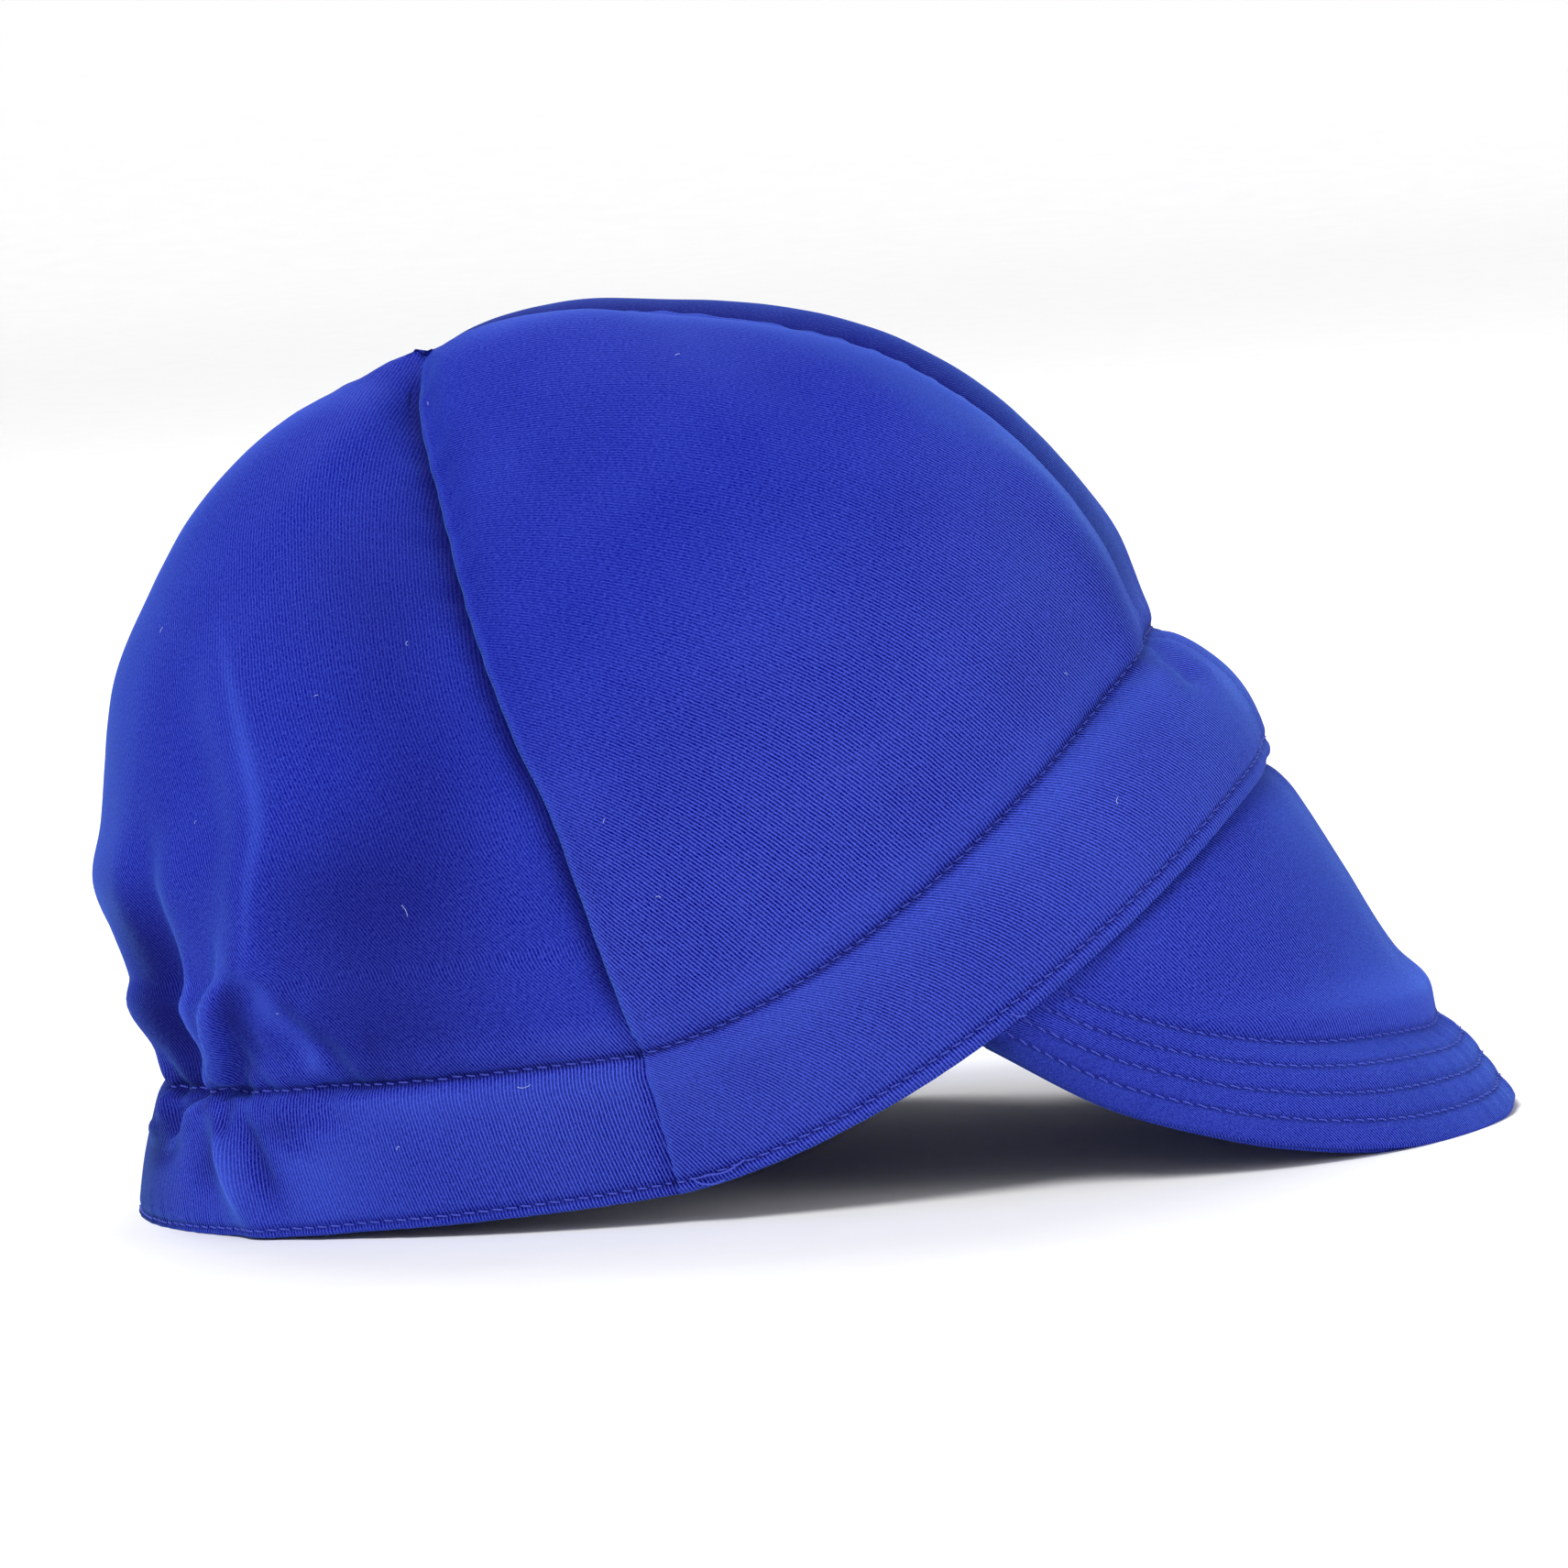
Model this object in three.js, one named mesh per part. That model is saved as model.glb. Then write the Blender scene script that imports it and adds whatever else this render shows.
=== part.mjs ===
// A welder's cap of blue cotton twill: four crown panels that meet at one point, a turned
// and topstitched hem round the head opening, and a soft two-layer peak under the front hem.
// It rests as it does on a table, on the back of its hem and on the side edges of its peak.
//
// Millimetres. +X points to the peak, +Y to the wearer's left and +Z up.
//
// A place on the cap is named by two numbers. around is 0 at the front seam, 1 at the left
// side seam, -1 at the right one and 2 at the back seam. down is 0 at the top point, 1 at
// the hem's upper stitch line and 2 at the hem's edge.

import * as THREE from 'three';

// Driving dimensions
const CROWN_LENGTH = 190; // back of the crown to the front stitch line
const CROWN_WIDTH = 164; // across the fullest part of the two side seams
const CROWN_DEPTH = 130.5; // top of the crown down to the back stitch line
const HEM_WIDTH = 24; // stitch line to the edge, where the shares in the hem tables are 1
const CLOTH = 1.2; // a crown panel, with its inner seam allowances
const HEM_CLOTH = 2.4; // the hem, turned up and doubled
const PEAK_CLOTH = 1.3; // each of the two layers of the peak
const PEAK_REACH = 39; // front hem to the tip of the peak, measured along X
const PEAK_TUCK = 7; // how far the peak runs up inside the hem
const GAP = 0.3; // clear space between neighbouring pieces
const PEAK_SEAT = 0.6; // clear space between the hem's outer layer and the peak inside it
const POCKET_ROOM = 2; // how far the pocket for the peak runs up past the peak
const FLOOR_PRESS = 0.7; // how far the back of the hem is flattened by what it rests on
const FRONT_VALLEY = 4; // depth of the front seam below the crown on each side of it
const SIDE_VALLEY = 2.8;
const BACK_VALLEY = 2.0;
const VALLEY_WIDTH = 9; // from the bottom of a seam's valley to its shoulder
const TURNED_WIDTH = 4; // the same where a front panel's turned edge stands up at a side seam
const STITCH_BOW = 9.5; // sag of the front stitch line below a straight run
const HEM_BOW = 9.4; // the same for the front of the hem's edge
const BACK_BOW = 0.8; // and for the back half of the edge
const STITCH_GROOVE = 0.9; // how deep the stitch line is drawn into the cloth
const STITCH_GROOVE_WIDTH = 2.5;
const FOLD_WIDTH = 6; // half width and height of the main folds
const FOLD_RISE = 3;
const PEAK_PUFF = 2; // fullness of the peak between the hem and its first stitch row
const PEAK_CREASE = 1.8; // depth of the crease along that row
const PEAK_CREASE_WIDTH = 4;
const PEAK_FLANGE = 20; // first stitch row to the edge of the peak, at its tip
const PEAK_SIDE_FLANGE = 23; // the same at its sides
const PEAK_LEAST_ROOM = 1; // least way from the hem to that row that counts as full cloth

// Shares that set the character of the form
const ROUNDNESS = 0.86; // power of sine and cosine round the crown: 1 is an ellipse
const BOW_FLATNESS = 2.1; // how evenly a bow is spread along its run
const SEAM_SLACK = 0.8; // share of a seam's valley that is gone where the hem holds it
const SEAM_EASE = 0.55; // how much closer a front panel's columns are at its seams
const GATHER_EASE = 0.35; // how much closer a back panel's columns are at its gathers
const HELD_FROM = 0.8; // the place down the cap where the hem starts to hold the seams flat
const HELD_TO = 1.05;
const DOUBLED_FROM = 0.99; // the place down the cap where the hem's inner layer starts
const DOUBLED_TO = 1.03;
const POCKET_EASE = 0.1; // share of the hem over which its pocket for the peak thins
const POCKET_PAST = 0.08; // how far round the pocket runs past a corner of the peak
const MOST_TUCKED = 0.8; // share of the peak's rows that may lie inside the hem at a corner
const PEAK_SPAN = 0.69; // where round the hem the corners of the peak are sewn in
const SIDE_FROM = 0.4; // the place across the peak where its flange has the width of its sides

// Fineness of the mesh
const FRONT_COLUMNS = 12;
const BACK_COLUMNS = 26;
const CROWN_ROWS = 20;
const HEM_ROWS = 6;
const CROWN_ROW_POWER = 1.15; // above 1 the rows are closer near the top point
const HEM_ROW_POWER = 1.3;
const PEAK_COLUMNS = 28;
const PEAK_TUCK_ROWS = 2;
const PEAK_ROWS = 10;

// The crown seams from the top point to the stitch line. along and drop are shares of the
// crown's length and depth, from its back and its top; out is a share of half its width.
const FRONT_SEAM = [
  { down: 0.00, along: 0.343, drop: 0.036, out: 0 },
  { down: 0.08, along: 0.400, drop: 0.009, out: 0 },
  { down: 0.16, along: 0.466, drop: -0.004, out: 0 },
  { down: 0.26, along: 0.545, drop: -0.004, out: 0 },
  { down: 0.37, along: 0.637, drop: 0.018, out: 0 },
  { down: 0.48, along: 0.722, drop: 0.051, out: 0 },
  { down: 0.58, along: 0.797, drop: 0.099, out: 0 },
  { down: 0.69, along: 0.870, drop: 0.177, out: 0 },
  { down: 0.80, along: 0.930, drop: 0.276, out: 0 },
  { down: 0.89, along: 0.967, drop: 0.372, out: 0 },
  { down: 0.96, along: 0.988, drop: 0.461, out: 0 },
  { down: 1.00, along: 1.001, drop: 0.500, out: 0 },
];
const SIDE_SEAM = [
  { down: 0.00, along: 0.343, drop: 0.036, out: 0.00 },
  { down: 0.12, along: 0.347, drop: 0.122, out: 0.22 },
  { down: 0.26, along: 0.369, drop: 0.227, out: 0.44 },
  { down: 0.46, along: 0.403, drop: 0.382, out: 0.74 },
  { down: 0.62, along: 0.441, drop: 0.533, out: 0.90 },
  { down: 0.71, along: 0.469, drop: 0.626, out: 0.955 },
  { down: 0.80, along: 0.488, drop: 0.715, out: 0.985 },
  { down: 0.89, along: 0.510, drop: 0.826, out: 1.00 },
  { down: 1.00, along: 0.536, drop: 0.951, out: 0.99 },
];
const BACK_SEAM = [
  { down: 0.00, along: 0.343, drop: 0.036, out: 0 },
  { down: 0.07, along: 0.285, drop: 0.079, out: 0 },
  { down: 0.17, along: 0.217, drop: 0.128, out: 0 },
  { down: 0.25, along: 0.167, drop: 0.183, out: 0 },
  { down: 0.33, along: 0.122, drop: 0.256, out: 0 },
  { down: 0.43, along: 0.077, drop: 0.364, out: 0 },
  { down: 0.54, along: 0.042, drop: 0.474, out: 0 },
  { down: 0.68, along: 0.023, drop: 0.645, out: 0 },
  { down: 0.76, along: 0.011, drop: 0.731, out: 0 },
  { down: 0.86, along: 0.040, drop: 0.845, out: 0 },
  { down: 0.90, along: 0.035, drop: 0.887, out: 0 },
  { down: 0.95, along: 0.058, drop: 0.945, out: 0 },
  { down: 1.00, along: 0.062, drop: 0.995, out: 0 },
];

// The hem below the stitch line, in shares of its width. forward runs to the peak, drop
// down, and draw toward the head.
const FRONT_HEM = [
  { down: 1.00, forward: 0.00, drop: 0.00, draw: 0 },
  { down: 1.25, forward: 0.29, drop: 0.17, draw: 0 },
  { down: 1.50, forward: 0.54, drop: 0.40, draw: 0 },
  { down: 1.75, forward: 0.70, drop: 0.70, draw: 0 },
  { down: 2.00, forward: 0.76, drop: 1.03, draw: 0 },
];
const SIDE_HEM = [
  { down: 1.00, forward: 0.00, drop: 0.00, draw: 0.00 },
  { down: 1.45, forward: 0.08, drop: 0.44, draw: 0.03 },
  { down: 2.00, forward: 0.18, drop: 1.03, draw: 0.12 },
];
const BACK_HEM = [
  { down: 1.00, forward: 0.00, drop: 0.00, draw: 0 },
  { down: 1.20, forward: -0.09, drop: 0.21, draw: 0 },
  { down: 1.60, forward: -0.21, drop: 0.60, draw: 0 },
  { down: 2.00, forward: -0.28, drop: 1.01, draw: 0 },
];

// Folds and gathers. A fold runs from start to end down the cap, and round it from the place
// from to the place to, by way of a bend half way. wide is its half width and rise its
// height as shares of FOLD_WIDTH and FOLD_RISE, negative for a valley.
const RIGHT_FOLDS = [
  { start: 0.42, end: 1.04, from: -1.50, to: -1.66, bend: 0.22, wide: 1.2, rise: 1.3 },
  { start: 0.80, end: 1.03, from: -1.40, to: -1.65, bend: 0.00, wide: 0.6, rise: 0.6 },
  { start: 0.64, end: 1.05, from: -1.60, to: -1.69, bend: 0.00, wide: 0.9, rise: -1.3 },
  { start: 0.76, end: 1.05, from: -1.80, to: -1.76, bend: 0.00, wide: 1.0, rise: 0.5 },
  { start: 0.84, end: 1.04, from: -1.39, to: -1.60, bend: 0.00, wide: 0.6, rise: -0.6 },
  { start: 0.80, end: 0.99, from: -1.44, to: -1.30, bend: 0.00, wide: 0.7, rise: 0.4 },
  { start: 0.86, end: 1.08, from: -1.38, to: -1.35, bend: 0.00, wide: 0.9, rise: -0.5 },
  { start: 0.95, end: 1.45, from: -1.72, to: -1.82, bend: 0.00, wide: 0.7, rise: 0.6 },
  { start: 0.94, end: 1.60, from: -1.67, to: -1.74, bend: 0.00, wide: 0.6, rise: -0.9 },
  { start: 0.96, end: 1.55, from: -1.63, to: -1.75, bend: 0.00, wide: 0.6, rise: 0.7 },
  { start: 1.00, end: 2.00, from: -1.62, to: -1.58, bend: 0.00, wide: 0.8, rise: -0.5 },
  { start: 1.02, end: 2.40, from: -1.63, to: -1.44, bend: 0.03, wide: 0.8, rise: 0.8 },
  { start: 0.92, end: 1.35, from: -1.40, to: -1.37, bend: 0.00, wide: 0.8, rise: -0.4 },
  { start: 1.05, end: 2.50, from: -1.47, to: -1.36, bend: 0.00, wide: 1.0, rise: 0.4 },
  { start: 0.03, end: 0.38, from: -1.14, to: -1.40, bend: 0.00, wide: 0.9, rise: 0.4 },
  { start: 0.02, end: 1.00, from: -0.12, to: -0.11, bend: 0.00, wide: 2.0, rise: -0.6 },
  { start: 0.20, end: 0.68, from: -0.20, to: -0.44, bend: 0.00, wide: 1.7, rise: -0.5 },
  { start: 0.66, end: 1.10, from: -0.18, to: -0.17, bend: 0.00, wide: 1.4, rise: 0.9 },
  { start: 0.96, end: 1.45, from: -0.07, to: -0.13, bend: 0.00, wide: 0.9, rise: -0.8 },
];
const LEFT_FOLDS = [
  { start: 0.46, end: 1.04, from: 1.42, to: 1.52, bend: -0.10, wide: 1.4, rise: 0.9 },
  { start: 0.58, end: 1.06, from: 1.60, to: 1.60, bend: 0.02, wide: 0.9, rise: -1.2 },
  { start: 0.74, end: 1.05, from: 1.76, to: 1.76, bend: 0.00, wide: 0.9, rise: 0.8 },
  { start: 0.82, end: 1.04, from: 1.46, to: 1.58, bend: 0.00, wide: 0.6, rise: 0.5 },
  { start: 0.82, end: 1.06, from: 1.40, to: 1.32, bend: 0.00, wide: 0.8, rise: -0.5 },
  { start: 0.94, end: 1.65, from: 1.60, to: 1.70, bend: 0.03, wide: 0.7, rise: -0.8 },
  { start: 0.97, end: 1.55, from: 1.50, to: 1.40, bend: 0.00, wide: 0.7, rise: 0.5 },
  { start: 1.05, end: 2.30, from: 1.66, to: 1.52, bend: 0.00, wide: 0.8, rise: 0.7 },
  { start: 0.96, end: 1.50, from: 1.76, to: 1.84, bend: 0.00, wide: 0.7, rise: 0.5 },
  { start: 0.18, end: 0.62, from: 0.20, to: 0.40, bend: 0.00, wide: 1.6, rise: -0.5 },
  { start: 0.78, end: 1.12, from: 0.15, to: 0.17, bend: 0.00, wide: 1.2, rise: 0.7 },
];
const FOLDS = [...RIGHT_FOLDS, ...LEFT_FOLDS];
const FOLD_FADE = 0.35; // share of a fold's run over which each end fades out

// The edge of the peak from its tip to a corner. reach is a share of the way from the
// corner to the tip along X, out of the way from the middle to the corner along Y, and
// lift of the corner's height above what the cap rests on.
const PEAK_EDGE = [
  { across: 0.00, reach: 1.000, out: 0.00, lift: 0.075 },
  { across: 0.12, reach: 0.990, out: 0.17, lift: 0.034 },
  { across: 0.24, reach: 0.950, out: 0.35, lift: 0.012 },
  { across: 0.36, reach: 0.875, out: 0.54, lift: 0.006 },
  { across: 0.48, reach: 0.780, out: 0.70, lift: 0.040 },
  { across: 0.60, reach: 0.650, out: 0.83, lift: 0.110 },
  { across: 0.72, reach: 0.480, out: 0.93, lift: 0.240 },
  { across: 0.86, reach: 0.240, out: 0.99, lift: 0.520 },
  { across: 1.00, reach: 0.000, out: 1.00, lift: 1.000 },
];

// How full the peak is from the hem, way 0, to its first stitch row, way 1, in shares of
// PEAK_PUFF.
const PEAK_FULLNESS = [
  { way: 0.00, puff: 0.00 },
  { way: 0.06, puff: 0.60 },
  { way: 0.15, puff: 0.85 },
  { way: 0.45, puff: 0.20 },
  { way: 0.75, puff: -0.60 },
  { way: 0.90, puff: 0.10 },
  { way: 1.00, puff: -0.30 },
];

const CLOTH_BLUE = new THREE.Color(0x2b3fcb);
const STEP = 0.004; // step in around and down for a slope
const SAME_POINT = 1e-6; // two points nearer than this are one

// A smooth curve through one column of a table.
function readTable(rows, key, column, at) {
  const last = rows.length - 1;
  let row = 0;
  while (row < last - 1 && at > rows[row + 1][key]) {
    row += 1;
  }
  const slope = (index) => {
    const before = rows[Math.max(index - 1, 0)];
    const after = rows[Math.min(index + 1, last)];
    return (after[column] - before[column]) / (after[key] - before[key]);
  };
  const span = rows[row + 1][key] - rows[row][key];
  const share = (at - rows[row][key]) / span;
  const square = share * share;
  const cube = square * share;
  return (2 * cube - 3 * square + 1) * rows[row][column]
    + (cube - 2 * square + share) * span * slope(row)
    + (3 * square - 2 * cube) * rows[row + 1][column]
    + (cube - square) * span * slope(row + 1);
}

// The same function with its answers kept, because a slope asks for the same place often.
function remember(placeOf) {
  const known = new Map();
  return (...place) => {
    const key = place.join(' ');
    if (!known.has(key)) {
      known.set(key, placeOf(...place));
    }
    return known.get(key).clone();
  };
}

// A point of one seam line: x and z from the back and the top of the crown, y outward.
function seamPoint(crownRows, hemRows, down) {
  const crownDown = Math.min(down, 1);
  const point = new THREE.Vector3(
    CROWN_LENGTH * readTable(crownRows, 'down', 'along', crownDown),
    CROWN_WIDTH / 2 * readTable(crownRows, 'down', 'out', crownDown),
    -CROWN_DEPTH * readTable(crownRows, 'down', 'drop', crownDown),
  );
  if (down > 1) {
    point.x += HEM_WIDTH * readTable(hemRows, 'down', 'forward', down);
    point.y -= HEM_WIDTH * readTable(hemRows, 'down', 'draw', down);
    point.z -= HEM_WIDTH * readTable(hemRows, 'down', 'drop', down);
  }
  return point;
}

const frontSeam = remember((down) => seamPoint(FRONT_SEAM, FRONT_HEM, down));
const sideSeam = remember((down) => seamPoint(SIDE_SEAM, SIDE_HEM, down));
const backSeam = remember((down) => seamPoint(BACK_SEAM, BACK_HEM, down));

// How far the cloth sags between two seams at one height.
function bowAt(isFront, down) {
  const onHem = Math.max(down - 1, 0);
  const atStitches = isFront ? STITCH_BOW * Math.min(down, 1) ** 2 : 0;
  const atEdge = isFront ? HEM_BOW : BACK_BOW;
  return atStitches * (1 - onHem) + atEdge * onHem;
}

// The crown before its seam valleys and folds.
function plainPoint(around, down) {
  const wrapped = around - 4 * Math.round(around / 4);
  const leftOrRight = wrapped < 0 ? -1 : 1;
  const fromFront = Math.abs(wrapped);
  const isFront = fromFront <= 1;
  const side = sideSeam(down);
  const middle = isFront ? frontSeam(down) : backSeam(down);
  const angle = (isFront ? fromFront : 2 - fromFront) * Math.PI / 2;
  const inward = Math.max(Math.cos(angle), 0) ** ROUNDNESS;
  const outward = Math.max(Math.sin(angle), 0) ** ROUNDNESS;
  const sag = bowAt(isFront, down) * (1 - Math.abs(2 * inward - 1) ** BOW_FLATNESS);
  return new THREE.Vector3(
    side.x + (middle.x - side.x) * inward,
    leftOrRight * side.y * outward,
    side.z + (middle.z - side.z) * inward - sag,
  );
}

function smoothStep(low, high, value) {
  return THREE.MathUtils.smoothstep(value, low, high);
}

// Depth of the seam valleys at a place. They are shallow where the hem holds them flat.
function valleyAt(around, down, point) {
  const wrapped = around - 4 * Math.round(around / 4);
  const side = sideSeam(down);
  const spread = (distance, width) => Math.exp(-((distance / width) ** 2));
  const middleDepth = Math.abs(wrapped) <= 1 ? FRONT_VALLEY : BACK_VALLEY;
  const sideWidth = Math.abs(wrapped) <= 1 ? TURNED_WIDTH : VALLEY_WIDTH;
  const atMiddle = middleDepth * spread(point.y, VALLEY_WIDTH);
  const atSide = SIDE_VALLEY * spread(point.x - side.x, sideWidth);
  const slack = 1 - SEAM_SLACK * smoothStep(HELD_FROM, HELD_TO, down);
  return Math.max(atMiddle, atSide) * slack;
}

// The rise of the folds at a place where one unit of around has a given length.
function foldAt(around, down, lengthAround) {
  const wrapped = around - 4 * Math.round(around / 4);
  let rise = 0;
  for (const fold of FOLDS) {
    const run = (down - fold.start) / (fold.end - fold.start);
    if (run > 0 && run < 1) {
      const straight = fold.from + (fold.to - fold.from) * run;
      const centre = straight + fold.bend * 4 * run * (1 - run);
      const away = (wrapped - centre) * lengthAround / (FOLD_WIDTH * fold.wide);
      const fade = smoothStep(0, FOLD_FADE, run) * smoothStep(0, FOLD_FADE, 1 - run);
      rise += FOLD_RISE * fold.rise * fade * Math.exp(-(away ** 2));
    }
  }
  return rise;
}

// The slopes of a surface function round the cap and down it.
function slopesOf(surface, around, down) {
  const low = Math.max(down - STEP, STEP / 2);
  const high = Math.min(down + STEP, 2);
  const acrossSlope = surface(around + STEP, Math.max(down, STEP))
    .sub(surface(around - STEP, Math.max(down, STEP)))
    .divideScalar(2 * STEP);
  const downSlope = surface(around, high).sub(surface(around, low)).divideScalar(high - low);
  return { acrossSlope, downSlope };
}

// Depth of the groove along the stitch line, where one unit of down has a given length.
function grooveAt(down, lengthDown) {
  const away = (down - 1) * lengthDown / STITCH_GROOVE_WIDTH;
  return STITCH_GROOVE * Math.exp(-(away ** 2));
}

function outwardNormal(surface, around, down) {
  if (down < STEP) {
    return new THREE.Vector3(0, 0, 1);
  }
  const { acrossSlope, downSlope } = slopesOf(surface, around, down);
  return downSlope.cross(acrossSlope).normalize();
}

// The outer face of the crown and hem.
function outerPoint(around, down) {
  const point = plainPoint(around, down);
  const normal = outwardNormal(plainPoint, around, down);
  const { acrossSlope, downSlope } = slopesOf(plainPoint, around, down);
  const offset = foldAt(around, down, acrossSlope.length())
    - valleyAt(around, down, point)
    - grooveAt(down, downSlope.length());
  return point.addScaledVector(normal, offset);
}

// The height of what the cap rests on: the back of the hem is pressed flat there.
const FLOOR = backSeam(2).z + FLOOR_PRESS;

// Thickness of the wall: the hem is doubled, but only its outer layer lies over the peak.
function wallAt(around, down) {
  const fromFront = Math.abs(around - 4 * Math.round(around / 4));
  const pocketTop = 2 - (PEAK_TUCK + POCKET_ROOM) / HEM_WIDTH;
  const pocketEnd = PEAK_SPAN + POCKET_PAST;
  const doubled = smoothStep(DOUBLED_FROM, DOUBLED_TO, down);
  const inPocket = smoothStep(pocketTop - POCKET_EASE, pocketTop, down)
    * (1 - smoothStep(pocketEnd, pocketEnd + POCKET_PAST, fromFront));
  return CLOTH + (HEM_CLOTH - CLOTH) * doubled * (1 - inPocket);
}

// A closed solid between an outer and an inner grid of points. Where a grid's first row is
// one point, its faces there are triangles.
function solidBetween(outer, inner) {
  const rows = outer.length;
  const columns = outer[0].length;
  const positions = [];
  const faces = [];
  for (const grid of [outer, inner]) {
    for (const row of grid) {
      for (const point of row) {
        positions.push(point.x, point.y, Math.max(point.z, FLOOR) - FLOOR);
      }
    }
  }
  const at = (layer, row, column) => (layer * rows + row) * columns + column;
  const isPoint = (layer, row) => {
    const grid = layer === 0 ? outer : inner;
    return grid[row][0].distanceTo(grid[row][columns - 1]) < SAME_POINT;
  };
  const addQuad = (a, b, c, d) => {
    for (const triangle of [[a, b, c], [a, c, d]]) {
      if (new Set(triangle).size === 3) {
        faces.push(...triangle);
      }
    }
  };
  for (const layer of [0, 1]) {
    for (let row = 0; row < rows - 1; row += 1) {
      for (let column = 0; column < columns - 1; column += 1) {
        const upperLeft = at(layer, row, isPoint(layer, row) ? 0 : column);
        const upperRight = at(layer, row, isPoint(layer, row) ? 0 : column + 1);
        const lowerLeft = at(layer, row + 1, column);
        const lowerRight = at(layer, row + 1, column + 1);
        if (layer === 0) {
          addQuad(upperLeft, lowerLeft, lowerRight, upperRight);
        } else {
          addQuad(upperLeft, upperRight, lowerRight, lowerLeft);
        }
      }
    }
  }
  for (let row = 0; row < rows - 1; row += 1) {
    const end = columns - 1;
    const upperEnd = isPoint(0, row) ? 0 : end;
    addQuad(at(1, row, 0), at(1, row + 1, 0), at(0, row + 1, 0), at(0, row, 0));
    addQuad(at(1, row, upperEnd), at(0, row, upperEnd), at(0, row + 1, end), at(1, row + 1, end));
  }
  for (let column = 0; column < columns - 1; column += 1) {
    const last = rows - 1;
    addQuad(at(0, last, column), at(1, last, column), at(1, last, column + 1),
      at(0, last, column + 1));
    if (!isPoint(0, 0)) {
      addQuad(at(0, 0, column), at(0, 0, column + 1), at(1, 0, column + 1), at(1, 0, column));
    }
  }
  const geometry = new THREE.BufferGeometry();
  geometry.setAttribute('position', new THREE.Float32BufferAttribute(positions, 3));
  geometry.setIndex(faces);
  return geometry;
}

// Rows are closer near the top point and on both sides of the stitch line.
function downRows() {
  const values = [];
  for (let row = 0; row <= CROWN_ROWS; row += 1) {
    values.push((row / CROWN_ROWS) ** CROWN_ROW_POWER);
  }
  for (let row = 1; row <= HEM_ROWS; row += 1) {
    values.push(1 + (row / HEM_ROWS) ** HEM_ROW_POWER);
  }
  return values;
}

// One crown panel with its share of the hem, between two seams.
function panelGeometry(fromAround, toAround, columns) {
  const middle = (fromAround + toAround) / 2;
  const isFront = Math.abs(middle) < 1;
  const ease = isFront ? -SEAM_EASE : GATHER_EASE;
  const shift = new THREE.Vector3(isFront ? GAP / 2 : -GAP / 2, Math.sign(middle) * GAP / 2, 0);
  const outer = [];
  const inner = [];
  for (const down of downRows()) {
    const outerRow = [];
    const innerRow = [];
    for (let column = 0; column <= columns; column += 1) {
      const even = column / columns;
      const eased = even + ease * Math.sin(2 * Math.PI * even) / (2 * Math.PI);
      const around = fromAround + (toAround - fromAround) * eased;
      const point = outerPoint(around, down).add(shift);
      const normal = outwardNormal(outerPoint, around, down);
      outerRow.push(point);
      innerRow.push(point.clone().addScaledVector(normal, -wallAt(around, down)));
    }
    outer.push(outerRow);
    inner.push(innerRow);
  }
  return solidBetween(outer, inner);
}

// The inner face of the hem's outer layer, where the peak is sewn in.
const hemInside = remember((around, down) => {
  const normal = outwardNormal(outerPoint, around, down);
  return outerPoint(around, down).addScaledVector(normal, -(CLOTH + PEAK_SEAT));
});

// The free edge of the peak. across runs from -1 at the right corner to 1 at the left one.
function peakEdge(across) {
  const fromMiddle = Math.abs(across);
  const corner = hemInside(Math.sign(across || 1) * PEAK_SPAN, 2);
  const tipX = frontSeam(2).x + PEAK_REACH;
  return new THREE.Vector3(
    corner.x + (tipX - corner.x) * readTable(PEAK_EDGE, 'across', 'reach', fromMiddle),
    corner.y * readTable(PEAK_EDGE, 'across', 'out', fromMiddle),
    FLOOR + (corner.z - FLOOR) * readTable(PEAK_EDGE, 'across', 'lift', fromMiddle),
  );
}

// The share of the way from the sewn edge to the free edge that lies inside the hem.
function tuckedShare(across) {
  const leaving = hemInside(across * PEAK_SPAN, 2);
  return PEAK_TUCK / (PEAK_TUCK + leaving.distanceTo(peakEdge(across)));
}

// The peak before its puff and crease. out runs from 0 at the sewn edge inside the hem to 1
// at the free edge.
function plainPeakPoint(across, out) {
  const around = across * PEAK_SPAN;
  const sewn = hemInside(around, 2 - PEAK_TUCK / HEM_WIDTH);
  const leaving = hemInside(around, 2);
  const tucked = tuckedShare(across);
  return out <= tucked
    ? sewn.lerp(leaving, out / tucked)
    : leaving.lerp(peakEdge(across), (out - tucked) / (1 - tucked));
}

function peakNormal(across, out) {
  const ahead = plainPeakPoint(Math.min(across + STEP, 1), out)
    .sub(plainPeakPoint(Math.max(across - STEP, -1), out));
  const outwards = plainPeakPoint(across, Math.min(out + STEP, 1))
    .sub(plainPeakPoint(across, Math.max(out - STEP, 0)));
  return outwards.cross(ahead).normalize();
}

// How far the peak stands off its plain surface: full between the hem and the first stitch
// row, and drawn in along that row.
function peakRelief(across, out) {
  const edge = peakEdge(across);
  const length = hemInside(across * PEAK_SPAN, 2).distanceTo(edge);
  const fromEdge = plainPeakPoint(across, out).distanceTo(edge);
  const flange = PEAK_FLANGE
    + (PEAK_SIDE_FLANGE - PEAK_FLANGE) * smoothStep(0, SIDE_FROM, Math.abs(across));
  const room = Math.max(length - flange, PEAK_LEAST_ROOM);
  const way = THREE.MathUtils.clamp((length - fromEdge) / room, 0, 1);
  const puff = PEAK_PUFF * readTable(PEAK_FULLNESS, 'way', 'puff', way);
  const away = (fromEdge - flange) / PEAK_CREASE_WIDTH;
  const crease = PEAK_CREASE * Math.exp(-(away ** 2));
  return (puff - crease) * smoothStep(0, 2 * flange, room);
}

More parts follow.
